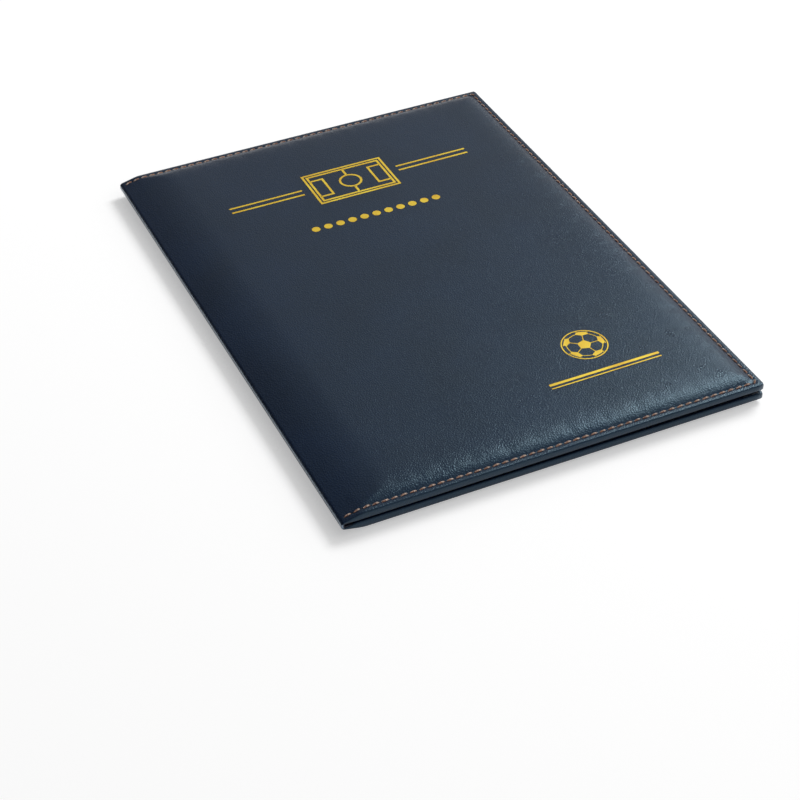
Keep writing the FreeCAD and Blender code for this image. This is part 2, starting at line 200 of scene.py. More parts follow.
def new_group(name, inputs, outputs):
    """A shader node group with a vector and named values, as its nodes, its inputs and its outputs."""
    tree = bpy.data.node_groups.new(name, "ShaderNodeTree")
    tree.interface.new_socket("Vector", in_out="INPUT", socket_type="NodeSocketVector")
    for label, value in inputs.items():
        tree.interface.new_socket(label, in_out="INPUT", socket_type="NodeSocketFloat").default_value = value
    for label in outputs:
        tree.interface.new_socket(label, in_out="OUTPUT", socket_type="NodeSocketFloat")
    given = tree.nodes.new("NodeGroupInput").outputs
    return Nodes(tree, given["Vector"]), given, tree.nodes.new("NodeGroupOutput").inputs


def leather_grain_group():
    """Pores and fine creases of a pressed grain."""
    scales = {"Pore Scale": 900.0, "Crease Scale": 300.0}
    group, given, out = new_group("leather_grain", scales, ("Height", "Tone"))
    warp = group.noise(given["Crease Scale"], output="Color")
    shifted = group.vector("SUBTRACT", {0: warp, 1: (0.5, 0.5, 0.5)})
    swirl = group.vector("SCALE", {0: shifted, "Scale": 0.5 * MM})
    bent = group.vector("ADD", {0: group.where, 1: swirl})
    pore_inputs = {"Vector": bent, "Scale": given["Pore Scale"], "Randomness": 0.9}
    pores = group.add("ShaderNodeTexVoronoi", pore_inputs, feature="DISTANCE_TO_EDGE")["Distance"]
    pebbles = group.ranged(pores, 0.0, 0.28)
    fine = group.noise(given["Pore Scale"], 3.0)
    height = group.plus(group.times(pebbles, 0.55), group.times(fine, 0.45))
    group.feed(out, {"Height": height, "Tone": pebbles})
    return group.tree


def rubbed_edge_group():
    """Scuffs where hands and shelves rub: a mask broken up by noise."""
    group, given, out = new_group("rubbed_edge", {"Edge": 0.0, "Amount": 0.5}, ("Mask",))
    patches = group.noise(6.0 * MM, 5.0, 0.65)
    specks = group.noise(0.9 * MM, 2.0, 0.6)
    broken = group.plus(group.times(patches, 0.65), group.times(specks, 0.35))
    raised = group.plus(broken, group.maths("SUBTRACT", given["Edge"], 1.0))
    mask = group.maths("MULTIPLY", group.ranged(raised, 0.38, 0.62), given["Amount"], clamp=True)
    group.feed(out, {"Mask": mask})
    return group.tree


def fleck_group():
    """The uneven tone and tiny relief of moulded plastic, film and ink."""
    group, given, out = new_group("fleck", {"Scale": 400.0}, ("Tone", "Height"))
    broad = group.noise(9.0 * MM, 3.0, 0.55)
    fine = group.noise(given["Scale"], 4.0)
    tone = group.plus(group.times(broad, 0.6), group.times(fine, 0.4))
    group.feed(out, {"Tone": tone, "Height": fine})
    return group.tree


GRAIN = leather_grain_group()
RUBBED = rubbed_edge_group()
FLECK = fleck_group()


class Finish(Nodes):
    """A material that is built up from its Object coordinates to the sockets of its shader."""

    def __init__(self, name):
        self.material = bpy.data.materials.new(name)
        self.material.use_nodes = True
        super().__init__(self.material.node_tree)
        self.where = self.add("ShaderNodeTexCoord")["Object"]

    def group(self, tree, **inputs):
        """The outputs of a shared group at the finish's own coordinates."""
        return self.add("ShaderNodeGroup", spaced({"Vector": self.where, **inputs}), node_tree=tree)

    def made(self, **sources):
        """The material, with its shader's sockets set or linked."""
        self.feed(self.tree.nodes["Principled BSDF"].inputs, spaced(sources))
        return self.material


# Finishes
COVER_GRAIN = {"Pore_Scale": 860.0, "Crease_Scale": 330.0}
LINING_GRAIN = {"Pore_Scale": 1700.0, "Crease_Scale": 500.0}
PULL_STREAKS = {"end_pull": (1.7 * MM, 6.0 * MM, 3.0 * MM), "side_pull": (6.0 * MM, 1.7 * MM, 3.0 * MM)}
MOWN_BAND = 46.0 * MM


def navy_leather():
    """Cloudy navy leatherette: dark in its pores, pale where it is rubbed, gathered by the stitches, and pale
    along the fold's crease from wear and a painted highlight.
    """
    look = Finish("navy_leatherette")
    grain = look.group(GRAIN, **COVER_GRAIN)
    cloudy = look.noise(38.0 * MM, 3.0)
    tone = look.mixed(look.ranged(cloudy, 0.3, 0.7), (12, 23, 49), (17, 31, 60))
    tone = look.mixed(look.ranged(grain["Tone"], 0.0, 1.0, 0.35, 0.0), tone, (11, 15, 30))
    rub = look.group(RUBBED, Edge=look.attribute("edge_rub"), Amount=0.7)["Mask"]
    tone = look.mixed(rub, tone, (112, 121, 134))
    # Pale wear with a painted highlight along the flat at the fold's crease.
    pale_highlight = look.ranged(look.attribute("crease_wear"), 0.25, 0.75, 0.0, 0.85)
    tone = look.mixed(pale_highlight, tone, (158, 172, 192))
    pulls = []
    for name, lengths in PULL_STREAKS.items():
        pulls.append(look.times(look.streaks(lengths, 4.0, 0.65), look.attribute(name)))
    gathered = look.times(look.plus(*pulls), look.ranged(cloudy, 0.35, 0.65, 0.4, 1.0))
    pulled = look.relief(gathered, 0.26 * MM, 0.8)
    return look.made(
        Base_Color=tone,
        Roughness=look.ranged(look.noise(14.0 * MM, 4.0, 0.6), 0.25, 0.75, 0.26, 0.32),
        Normal=look.relief(grain["Height"], 0.12 * MM, 0.8, pulled),
        Specular_IOR_Level=0.5,
        Specular_Tint=(0.48, 0.82, 1.0, 1.0),
    )


def navy_lining():
    """Thin leatherette of a finer grain, with less shine."""
    look = Finish("navy_lining")
    grain = look.group(GRAIN, **LINING_GRAIN)
    cloudy = look.noise(22.0 * MM, 3.0)
    tone = look.mixed(cloudy, (18, 22, 38), (29, 36, 56))
    tone = look.mixed(look.ranged(grain["Tone"], 0.0, 1.0, 0.4, 0.0), tone, (12, 15, 26))
    rub = look.group(RUBBED, Edge=look.attribute("edge_rub"), Amount=0.35)["Mask"]
    return look.made(
        Base_Color=look.mixed(rub, tone, (70, 78, 92)),
        Roughness=look.ranged(cloudy, 0.3, 0.7, 0.52, 0.62),
        Normal=look.relief(grain["Height"], 0.04 * MM, 0.6),
        Specular_IOR_Level=0.4,
    )


def twisted_thread(name, low, high, groove_shade, pale_highlight):
    """Twisted thread of a tone from low to high, with painted shade between its strands and a pale painted
    highlight where it bulges.
    """
    look = Finish(name)
    lay = look.add("ShaderNodeUVMap", uv_map="thread_lay")[0]
    twist = look.bands("DIAGONAL", Vector=lay, Scale=1.6, Distortion=0.6, Detail=1.0)
    tone = look.mixed(look.ranged(look.noise(17.0 * MM), 0.35, 0.65), low, high)
    along = look.add("ShaderNodeSeparateXYZ", {0: lay})["X"]
    # Painted highlight on each stitch's crown, near one end of it.
    crown_highlight = look.times(look.ranged(along, 1.5, 2.0), look.ranged(along, 2.8, 2.3))
    tone = look.mixed(look.times(crown_highlight, 0.8), tone, pale_highlight)
    return look.made(
        # Painted shade in the grooves between the strands.
        Base_Color=look.mixed(look.ranged(twist, 0.0, 0.5, 0.6, 0.0), tone, groove_shade),
        Roughness=look.ranged(twist, 0.0, 1.0, 0.42, 0.2),
        Normal=look.relief(twist, 0.16 * MM),
        Specular_IOR_Level=0.9,
        Sheen_Weight=0.15,
        Sheen_Roughness=0.4,
    )


def needle_hole():
    """Painted shade in a needle hole, near black and broken up at its torn rim."""
    look = Finish("needle_hole_shade")
    torn = look.noise(0.4 * MM, 3.0, 0.6)
    return look.made(
        Base_Color=look.mixed(torn, (4, 5, 9), (15, 16, 22)),
        Roughness=look.ranged(torn, 0.2, 0.8, 0.75, 0.95),
        Normal=look.relief(torn, 0.05 * MM),
        Specular_IOR_Level=0.15,
    )


def gold_foil():
    """Stamped foil that takes up the leather's grain and has lost a few specks."""
    look = Finish("gold_foil")
    grain = look.group(GRAIN, **COVER_GRAIN)
    sheen = look.noise(9.0 * MM, 3.0)
    tone = look.mixed(look.ranged(sheen, 0.3, 0.7), (236, 190, 36), (252, 222, 62))
    lost = look.ranged(look.noise(0.7 * MM, 2.0, 0.6), 0.70, 0.76)
    return look.made(
        Base_Color=look.mixed(lost, tone, (120, 84, 24)),
        Roughness=look.ranged(sheen, 0.2, 0.8, 0.34, 0.48),
        Normal=look.relief(grain["Height"], 0.03 * MM, 0.5),
        Metallic=0.35,
        Specular_IOR_Level=0.6,
    )


def stamped_edge():
    """Painted shade of the pressed groove round the foil, on the leather's grain."""
    look = Finish("stamped_edge_shade")
    grain = look.group(GRAIN, **COVER_GRAIN)
    return look.made(
        Base_Color=look.mixed(grain["Tone"], (11, 13, 20), (20, 24, 36)),
        Roughness=look.ranged(grain["Height"], 0.0, 1.0, 0.5, 0.65),
        Normal=look.relief(grain["Height"], 0.04 * MM),
        Specular_IOR_Level=0.3,
    )


def printed_pitch():
    """Green print with mown bands across the length of the pitch, under a clear film."""
    look = Finish("printed_pitch_film")
    bands = look.bands("X", Vector=look.where, Scale=1.0 / MOWN_BAND / math.pi, Distortion=0.0)
    tone = look.mixed(look.ranged(bands, 0.45, 0.55), (38, 118, 52), (58, 142, 66))
    flecks = look.group(FLECK, Scale=900.0)
    return look.made(
        Base_Color=look.mixed(look.ranged(flecks["Tone"], 0.3, 0.7, 0.0, 0.35), tone, (24, 92, 42)),
        Roughness=look.ranged(flecks["Height"], 0.3, 0.7, 0.28, 0.38),
        Normal=look.relief(flecks["Height"], 0.01 * MM, 0.4),
        Coat_Weight=0.3,
        Coat_Roughness=0.15,
    )


def printed_ink(name, low, high):
    """Ink with a slightly uneven tone."""
    look = Finish(name)
    flecks = look.group(FLECK, Scale=1400.0)
    return look.made(
        Base_Color=look.mixed(look.ranged(flecks["Tone"], 0.35, 0.65), low, high),
        Roughness=look.ranged(flecks["Height"], 0.3, 0.7, 0.38, 0.5),
        Normal=look.relief(flecks["Height"], 0.008 * MM, 0.5),
    )


def moulded_plastic(name, low, high):
    """Glossy plastic with a slightly uneven tone."""
    look = Finish(name)
    flecks = look.group(FLECK, Scale=700.0)
    return look.made(
        Base_Color=look.mixed(look.ranged(flecks["Tone"], 0.3, 0.7), low, high),
        Roughness=look.ranged(flecks["Height"], 0.3, 0.7, 0.24, 0.36),
        Normal=look.relief(flecks["Height"], 0.006 * MM, 0.4),
        Coat_Weight=0.2,
        Coat_Roughness=0.2,
    )


def grey_foam():
    """Foam with open cells."""
    look = Finish("grey_foam")
    cell_inputs = {"Vector": look.where, "Scale": 1400.0}
    cells = look.add("ShaderNodeTexVoronoi", cell_inputs, feature="F1")["Distance"]
    return look.made(
        Base_Color=look.mixed(cells, (92, 94, 98), (158, 160, 164)),
        Roughness=look.ranged(cells, 0.0, 0.7, 0.95, 0.8),
        Normal=look.relief(cells, 0.3 * MM),
        Sheen_Weight=0.2,
    )


def grey_board():
    """Pulp board with short fibres and dark flecks."""
    look = Finish("grey_board")
    fibres = look.streaks((6.0 * MM, 0.8 * MM, 0.8 * MM), 5.0, 0.65)
    tone = look.mixed(fibres, (118, 112, 104), (164, 158, 148))
    flecks = look.group(FLECK, Scale=500.0)["Tone"]
    return look.made(
        Base_Color=look.mixed(look.ranged(flecks, 0.55, 0.75, 0.0, 0.6), tone, (92, 86, 80)),
        Roughness=look.ranged(fibres, 0.2, 0.8, 0.8, 0.92),
        Normal=look.relief(fibres, 0.06 * MM, 0.7),
    )


def tinned_steel():
    """Rolled steel sheet with a cloudy coat of tin."""
    look = Finish("tinned_steel")
    rolled = look.streaks((40.0 * MM, 0.3 * MM, 0.3 * MM), 4.0, 0.6)
    bloom = look.noise(12.0 * MM, 4.0, 0.6)
    return look.made(
        Base_Color=look.mixed(bloom, (178, 182, 184), (214, 217, 218)),
        Roughness=look.plus(look.ranged(rolled, 0.2, 0.8, 0.22, 0.36), look.times(bloom, 0.1)),
        Metallic=1.0,
        Normal=look.relief(rolled, 0.01 * MM, 0.6),
    )


FINISH = {
    "leather": navy_leather(),
    "lining": navy_lining(),
    # Threads: a tone from low to high, the painted shade of their grooves and the pale painted highlight of
    # their crowns.
    "thread": twisted_thread("tan_thread", (142, 90, 64), (192, 142, 112), (46, 27, 21), (236, 214, 196)),
    "bobbin": twisted_thread("navy_bobbin_thread", (24, 30, 48), (40, 48, 70), (10, 12, 20), (58, 68, 94)),
    "hole": needle_hole(),
    "foil": gold_foil(),
    "stamp": stamped_edge(),
    "pitch": printed_pitch(),
    "line": printed_ink("white_line_ink", (226, 230, 226), (246, 248, 246)),
    "digit": printed_ink("digit_ink", (236, 236, 232), (250, 250, 248)),
    "patch": printed_ink("ball_patch_ink", (18, 18, 20), (34, 34, 36)),
    "red": moulded_plastic("red_magnet_plastic", (168, 22, 26), (196, 34, 36)),
    "blue": moulded_plastic("blue_magnet_plastic", (24, 66, 150), (38, 84, 176)),
    "white": moulded_plastic("white_magnet_plastic", (222, 222, 218), (238, 238, 235)),
    "foam": grey_foam(),
    "board": grey_board(),
    "steel": tinned_steel(),
}


# Mesh helpers
def put(name, data):
    """A new object in the scene that shows some data."""
    made = bpy.data.objects.new(name, data)
    bpy.context.scene.collection.objects.link(made)
    return made


def take_away(thing):
    """Remove an object that was needed only on the way."""
    bpy.data.objects.remove(thing, do_unlink=True)


def new_piece(name, points, faces, finish, smooth=True):
    """An object with a mesh of its own in one finish."""
    mesh = bpy.data.meshes.new(name)
    mesh.from_pydata([tuple(point) for point in points], [], [tuple(face) for face in faces])
    mesh.update()
    mesh.materials.append(FINISH[finish])
    if smooth:
        mesh.polygons.foreach_set("use_smooth", [True] * len(mesh.polygons))
    return put(name, mesh)


@contextmanager
def open_mesh(piece):
    """A piece's mesh, open for changes that are then written back."""
    work = bmesh.new()
    work.from_mesh(piece.data)
    yield work
    work.to_mesh(piece.data)
    work.free()


def face_outwards(piece):
    """Merge doubles and turn the faces of a closed piece outwards."""
    with open_mesh(piece) as work:
        bmesh.ops.remove_doubles(work, verts=work.verts, dist=0.001 * MM)
        bmesh.ops.recalc_face_normals(work, faces=work.faces)
    piece.data.update()
    piece.data.set_sharp_from_angle(angle=SHARP_TURN)
    return piece


def as_plain_mesh(source, name):
    """A plain mesh of an object as its modifiers leave it, in a new object; the source is removed."""
    bpy.context.view_layer.update()
    graph = bpy.context.evaluated_depsgraph_get()
    mesh = bpy.data.meshes.new_from_object(source.evaluated_get(graph), depsgraph=graph)
    mesh.transform(source.matrix_world)
    take_away(source)
    mesh.name = name
    return put(name, mesh)


def give_thickness(piece, thickness):
    """Give a sheet its thickness, inwards from its face."""
    solid = piece.modifiers.new("thickness", "SOLIDIFY")
    solid.thickness = thickness
    solid.offset = -1.0
    solid.use_rim = True
    thick = as_plain_mesh(piece, piece.name)
    thick.data.set_sharp_from_angle(angle=SHARP_TURN)
    return thick


def write_attribute(piece, name, values):
    """Write one value for each point of a piece."""
    made = piece.data.attributes.new(name, "FLOAT", "POINT")
    made.data.foreach_set("value", np.asarray(values, np.float32).ravel())


def strip_faces(first_row, second_row, closed=False):
    """Quads between two rows of points."""
    count = len(first_row)
    faces = []
    for i in range(count if closed else count - 1):
        j = (i + 1) % count
        faces.append((first_row[i], second_row[i], second_row[j], first_row[j]))
    return faces


def grid_faces(index):
    """Quads of a grid of point numbers."""
    faces = []
    for row, after in zip(index, index[1:]):
        faces.extend(strip_faces(after, row))
    return faces


def tube(name, loops, finish, capped=True):
    """A closed piece through loops of as many points each, with a cap at either end or joined end to end."""
    loops = np.asarray(loops)
    rows = np.arange(loops.size // 3).reshape(loops.shape[:2])
    faces = [rows[0], rows[-1][::-1]] if capped else strip_faces(rows[-1], rows[0], closed=True)
    for first, second in zip(rows, rows[1:]):
        faces.extend(strip_faces(first, second, closed=True))
    return face_outwards(new_piece(name, loops.reshape(-1, 3), faces, finish))


def placed(panel, loops):
    """Loops of points in the shared frame, from loops in a panel's own frame."""
    return place(panel, *np.moveaxis(np.array(loops), -1, 0))


def arc_line(centre, radius, first, last, count=49):
    """Points on an arc between two angles."""
    turns = np.linspace(first, last, count)
    return [(centre[0] + radius * math.cos(turn), centre[1] + radius * math.sin(turn)) for turn in turns]


def circle_line(centre, radius, count=72):
    """Points on a circle."""
    return arc_line(centre, radius, 0, 2 * math.pi * (1 - 1 / count), count)


def unit(vectors):
    """Vectors of length 1 in the same directions."""
    return vectors / np.linalg.norm(vectors, axis=1, keepdims=True)


def eased(share):
    """A share from 0 to 1 that starts and ends gently."""
    held = np.clip(share, 0, 1)
    return held * held * (3 - 2 * held)


# Form of the padded cover
EDGE_THICKNESS = 3.3 * MM
MARGIN_TOP = LINING_FACE + EDGE_THICKNESS
CROWN = CROWN_TOP - MARGIN_TOP
FOLD_RADIUS = -(cad_box[0].x - AXIS_X)
FOLD_RUN = 28.0 * MM
FOLD_DROP = CROWN_TOP - FOLD_RADIUS
FOLD_ARC = (FOLD_RUN ** 2 + FOLD_DROP ** 2) / (2 * FOLD_DROP)
TIP_LIFT = 0.08 * MM
TIP_RUN = 6.0 * MM
ROLL_BLEND = 0.5 * MM
CORNER_RADIUS = 1.4 * MM
PAD_CORNER = 9.0 * MM
PAD_DIP = 0.6
PAD_DIP_RUN = 3.4 * MM
PAD_DIP_CURVE = 1.5
PAD_RUN = 10.0 * MM
PAD_CURVE = 1.6
PAD_REACH = 21.0 * MM
PAD_SWELL = {"front": 1.0 * MM, "rear": 0.0}
SWELL_RUN = 42.0 * MM
WAVE_RISE = 0.11 * MM
WAVES_ACROSS, LEAN_ACROSS = (71 * MM, 113 * MM), 0.3
WAVES_ALONG, LEAN_ALONG = (97 * MM, 149 * MM), 0.4
HEM_FALL = 0.3 * MM
STITCH_INSET = 3.2 * MM
STITCH_CORNER = 1.2 * MM
GROOVE_DEPTH = 0.32 * MM
GROOVE_WIDTH = 0.75 * MM


def edge_inset(u, v, radius):
    """Distance in from the nearest sewn edge, with contour lines that turn the corner on a radius."""
    side, end = PANEL_END - u, HALF_HEIGHT - np.abs(v)
    inside = radius - np.hypot(np.clip(radius - side, 0, None), np.clip(radius - end, 0, None))
    return np.where((side < radius) & (end < radius), inside, np.minimum(side, end))


def smooth_least(first, second, width):
    """The lesser of two heights, with the corner between them rounded."""
    share = np.clip(0.5 + 0.5 * (second - first) / width, 0, 1)
    return second * (1 - share) + first * share - width * share * (1 - share)


def waves(along, lengths, seed):
    """An uneven ripple: cosines of a few wavelengths with seeded phases."""
    draw = np.random.default_rng(seed)
    total = np.zeros_like(np.asarray(along, float))
    for length in lengths:
        total += np.cos(2 * math.pi * (along / length + draw.random()))
    return total / len(lengths)


def fold_roll(u):
    """Height of the cover where it rolls down to the fold."""
    reach = np.clip(FOLD_RUN - u, 0, None)
    arc = CROWN_TOP - FOLD_ARC + np.sqrt(FOLD_ARC ** 2 - reach ** 2)
    return arc + TIP_LIFT * np.clip(1 - u / TIP_RUN, 0, None) ** 2


def padded_form(panel, u, v):
    """Height of a panel's leather over the plane where the panels meet, drawn tight over its foam."""
    seed = COVER_SEED[panel]
    past = np.clip(edge_inset(u, v, PAD_CORNER) - STITCH_INSET, 0, None)
    dip = 1 - np.exp(-((past / PAD_DIP_RUN) ** PAD_DIP_CURVE))
    rise = 1 - np.exp(-((past / PAD_RUN) ** PAD_CURVE))
    swell = (CROWN + PAD_SWELL[panel]) * (PAD_DIP * dip + (1 - PAD_DIP) * rise)
    fall = HEM_FALL * np.clip(1 - edge_inset(u, v, CORNER_RADIUS) / STITCH_INSET, 0, 1) ** 2
    ripple = waves(u + LEAN_ACROSS * v, WAVES_ACROSS, seed + 1)
    ripple = ripple + waves(v - LEAN_ALONG * u, WAVES_ALONG, seed + 2)
    soft = WAVE_RISE * np.clip(past / PAD_REACH, 0, 1) ** 2 * ripple
    sewn = MARGIN_TOP + swell - fall + soft
    off_seam = edge_inset(u, v, STITCH_INSET + STITCH_CORNER) - STITCH_INSET
    groove = GROOVE_DEPTH * np.exp(-((off_seam / GROOVE_WIDTH) ** 2))
    rolled = fold_roll(u) + PAD_SWELL[panel] * eased(u / SWELL_RUN)
    return smooth_least(rolled, sewn, ROLL_BLEND) - groove * np.clip(u / TIP_RUN, 0, 1)


# Slack of the leather: a cloth simulation of the sheet between the seams
SLACK_START = 6.0 * MM
SLACK_STEP = 1.7 * MM
SLACK_FRAMES = 16
SLACK_SPARE = 0.006
SLACK_SHARE = 0.36
SLACK_CAP = 0.16 * MM
SLACK_CLOTH = {
    "quality": 8,
    "mass": 0.3,
    "tension_stiffness": 30.0,
    "compression_stiffness": 30.0,
    "shear_stiffness": 15.0,
    "bending_stiffness": 200.0,
    "vertex_group_mass": "held",
    "pin_stiffness": 1.0,
    "shrink_min": -SLACK_SPARE,
}
GLUE_START, GLUE_FULL = 3.0 * MM, 18.0 * MM
GLUE_HOLD = 1.0
LOOSE_HOLD = 0.05


def even_row(start, end):
    """Evenly spaced places from start to end, about a slack step apart."""
    return np.linspace(start, end, round((end - start) / SLACK_STEP) + 1)


def softened(grid):
    """The grid with each point shared with its neighbours, which takes out the mesh's own zigzag."""
    for _ in range(2):
        padded = np.pad(grid, ((1, 1), (0, 0)), mode="edge")
        grid = (0.25 * (padded[:-2] + padded[2:]) + 0.5 * padded[1:-1]).T
    return grid


def simulated_slack():
    """How far the leather lies off its tight form, on a grid.

    The sheet is held along its seams and by the glue on the foam. It has a little length to spare, which
    gathers where it is loose, by the stitches.
    """
    columns = even_row(SLACK_START, PANEL_END - STITCH_INSET)
    rows = even_row(STITCH_INSET - HALF_HEIGHT, HALF_HEIGHT - STITCH_INSET)
    u, v = np.meshgrid(columns, rows)
    start = place("front", u.ravel(), v.ravel(), padded_form("front", u, v).ravel())
    faces = grid_faces(np.arange(u.size).reshape(u.shape))
    sheet = new_piece("slack_sheet", start, faces, "leather")
    inset = edge_inset(u, v, PAD_CORNER) - STITCH_INSET
    hold = LOOSE_HOLD + (GLUE_HOLD - LOOSE_HOLD) * eased((inset - GLUE_START) / (GLUE_FULL - GLUE_START))
    hold[[0, -1], :] = 1.0
    hold[:, [0, -1]] = 1.0
    held = sheet.vertex_groups.new(name="held")
    for spot, share in enumerate(hold.ravel()):
        held.add([spot], float(share), "REPLACE")
    cloth = sheet.modifiers.new("slack", "CLOTH")
    for name, value in SLACK_CLOTH.items():
        setattr(cloth.settings, name, value)
    cloth.settings.effector_weights.gravity = 0.0
    cloth.collision_settings.use_collision = False
    for step in range(1, SLACK_FRAMES + 1):
        bpy.context.scene.frame_set(step)
    settled = as_plain_mesh(sheet, "slack_sheet")
    end = np.empty(3 * u.size)
    settled.data.vertices.foreach_get("co", end)
    take_away(settled)
    bpy.context.scene.frame_set(1)
    lift = softened((end.reshape(-1, 3)[:, 2] - start[:, 2]).reshape(u.shape))
    ring = np.clip(np.round(inset / SLACK_STEP), 0, None)
    for level in np.unique(ring):
        lift[ring == level] -= np.mean(lift[ring == level])
    return columns, rows, SLACK_CAP * np.tanh(SLACK_SHARE * lift / SLACK_CAP)


SLACK = simulated_slack()


def grid_spot(value, places):
    """The last of some even places before a value, and the share of the way to the next one."""
    spot = np.clip((np.asarray(value) - places[0]) / (places[1] - places[0]), 0, len(places) - 1.001)
    return spot.astype(int), spot - spot.astype(int)


def slack_at(u, v):
    """The simulated slack at any place of the plan, by straight shares between the grid's points."""
    columns, rows, lift = SLACK
    i, share_u = grid_spot(u, columns)
    j, share_v = grid_spot(v, rows)
    low = lift[j, i] * (1 - share_u) + lift[j, i + 1] * share_u
    high = lift[j + 1, i] * (1 - share_u) + lift[j + 1, i + 1] * share_u
    return low * (1 - share_v) + high * share_v


def cover_height(panel, u, v):
    """Height of a panel's leather, slack included; the rear one is flat where it rests."""
    height = padded_form(panel, u, v) + slack_at(u, v)
    return height if panel == "front" else np.minimum(height, CROWN_TOP)


# Cover leather: one sheet over the pad, with its hem turned round three edges
HEM_BULGE = 1.0 * MM
HEM_FLANGE = 0.8 * MM
HEM_SQUARENESS = 4.0
HEM_STEPS = 9
HEM_LOW_FOLD = 0.5 * MM
HEM_LOW_OPEN = 0.95 * MM
HEM_LOW_RUN = 5.0 * MM
HEM_TUCK = ((0.5, 0.0), (1.0, 0.3), (1.2, 1.0))  # flange widths turned in, share of the way to the lining
COVER_STEP = {"front": 1.4 * MM, "rear": 2.2 * MM}
FOLD_STEP = 0.7 * MM
SEWN_STEP = 0.55 * MM
FINE_ZONE = 16.0 * MM
PULL_RISE = 2.0 * MM
PULL_START, PULL_FADE = 7.0 * MM, 5.0 * MM
PULL_FREE, PULL_FULL = 0.3, 30.0 * MM
EDGE_RUB, EDGE_RUB_REACH = 0.55, 0.7 * MM
CORNER_RUB, CORNER_RUB_REACH = 0.75, 5.0 * MM


def hem_low(u):
    """Level of the hem's lowest line: on the lining at the fold, then over a gap that widens from there."""
    gap = HEM_LOW_FOLD + (HEM_LOW_OPEN - HEM_LOW_FOLD) * u / PANEL_END
    share = eased(u / HEM_LOW_RUN)
    return (LINING_FACE + CONTACT) * (1 - share) + gap * share


def hem_profile():
    """Outward and downward shares round the hem's edge, from its top to its inner face."""
    angles = np.linspace(math.pi / 2, -math.pi / 2, HEM_STEPS)
    power = 2.0 / HEM_SQUARENESS
    outward = np.abs(np.cos(angles)) ** power
    level = np.sign(np.sin(angles)) * np.abs(np.sin(angles)) ** power
    return [(float(o), float((1 - s) / 2)) for o, s in zip(outward, level)][1:]


def graded(start, end, fine_low, fine_high, coarse):
    """Places along a line, closer together in a zone at either end."""
    places = [start]
    while places[-1] < end:
        here = places[-1]
        low = min((here - start) / FINE_ZONE, 1.0)
        high = min((end - here) / FINE_ZONE, 1.0)
        step = min(fine_low + (coarse - fine_low) * low ** 2, fine_high + (coarse - fine_high) * high ** 2)
        places.append(here + step)
    share = (end - start) / (places[-1] - start)
    return np.array([start + (spot - start) * share for spot in places])


def plan_grid(columns, rows, length, half, radius):
    """Plan of a sheet whose two corners at the open side are round."""
    u, v = np.meshgrid(columns, rows)
    across = np.clip((u - (length - radius)) / radius, 0, 1)
    along = np.clip((np.abs(v) - (half - radius)) / radius, 0, 1)
    in_corner = (across > 0) & (along > 0)
    round_u = length - radius + radius * across * np.sqrt(1 - along ** 2 / 2)
    round_v = np.sign(v) * (half - radius + radius * along * np.sqrt(1 - across ** 2 / 2))
    return np.where(in_corner, round_u, u), np.where(in_corner, round_v, v)


def cover(panel):
    """The padded leather of one panel, with where it is pulled and rubbed."""
    length = PANEL_END - HEM_BULGE
    half = HALF_HEIGHT - HEM_BULGE
    columns = graded(0.0, length, FOLD_STEP, SEWN_STEP, COVER_STEP[panel])
    rows = graded(-half, half, SEWN_STEP, SEWN_STEP, COVER_STEP[panel])
    u, v = plan_grid(columns, rows, length, half, CORNER_RADIUS - HEM_BULGE)
    d = cover_height(panel, u, v)
    index = np.arange(u.size).reshape(u.shape)
    faces = grid_faces(index)
    rim = np.concatenate([index[0, :], index[1:, -1], index[-1, -2::-1]])
    rim_u, rim_v, rim_d = u.ravel()[rim], v.ravel()[rim], d.ravel()[rim]
    tangent = unit(np.stack([np.gradient(rim_u), np.gradient(rim_v)], axis=-1))
    low = hem_low(rim_u)
    turns = [(HEM_BULGE * outward, rim_d + (low - rim_d) * share) for outward, share in hem_profile()]
    for inward, share in HEM_TUCK:
        turns.append((-inward * HEM_FLANGE, low * (1 - share) + (LINING_FACE + CONTACT) * share))
    sheets = [(u.ravel(), v.ravel(), d.ravel())]
    last_row = rim
    for number, (outward, level) in enumerate(turns):
        sheets.append((rim_u + outward * tangent[:, 1], rim_v - outward * tangent[:, 0], level))
        next_row = u.size + number * len(rim) + np.arange(len(rim))
        faces.extend(strip_faces(last_row, next_row))
        last_row = next_row
    u, v, d = [np.concatenate(parts) for parts in zip(*sheets)]
    piece = new_piece(f"{panel}_cover", place(panel, u, v, d), faces, "leather")
    side, end = PANEL_END - u, HALF_HEIGHT - np.abs(v)
    pad = edge_inset(u, v, PAD_CORNER)
    fade = np.exp(-np.clip(pad - PULL_START, 0, None) / PULL_FADE)
    pull = np.clip((pad - STITCH_INSET) / PULL_RISE, 0, 1) * fade * np.clip(u / PULL_FULL - PULL_FREE, 0, 1)
    write_attribute(piece, "end_pull", pull * (end <= side))
    write_attribute(piece, "side_pull", pull * (end > side))
    edge = EDGE_RUB * np.exp(-np.clip(edge_inset(u, v, CORNER_RADIUS), 0, None) / EDGE_RUB_REACH)
    corner = CORNER_RUB * np.exp(-np.hypot(side, end) / CORNER_RUB_REACH)
    write_attribute(piece, "edge_rub", np.clip(edge + corner, 0, 1))
    piece = give_thickness(piece, LEATHER_SKIN)
    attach(piece, BODY[panel])
    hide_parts(f"{panel}_cover_leather")


# Spine: the crease of the cover leather and the lining strip inside it
SPINE_ROWS = 41
BEND_STEPS = 8
CREASE_FLAT = 1.0 * MM
CREASE_INNER_FLAT = 0.75 * MM
CREASE_TIP = 3.0 * MM
SPINE_STRIP = 0.6 * MM
SPINE_REACH = 7.0 * MM
STRIP_FLAT = 0.75 * MM
STRIP_INNER_FLAT = 0.45 * MM
STRIP_SKIVE, STRIP_TIP = 0.35 * MM, 0.3 * MM
STRIP_RUB_FOLD, STRIP_RUB_FLAT = 0.35, 0.1
STRIP_RUB_REACH = 1.5 * MM


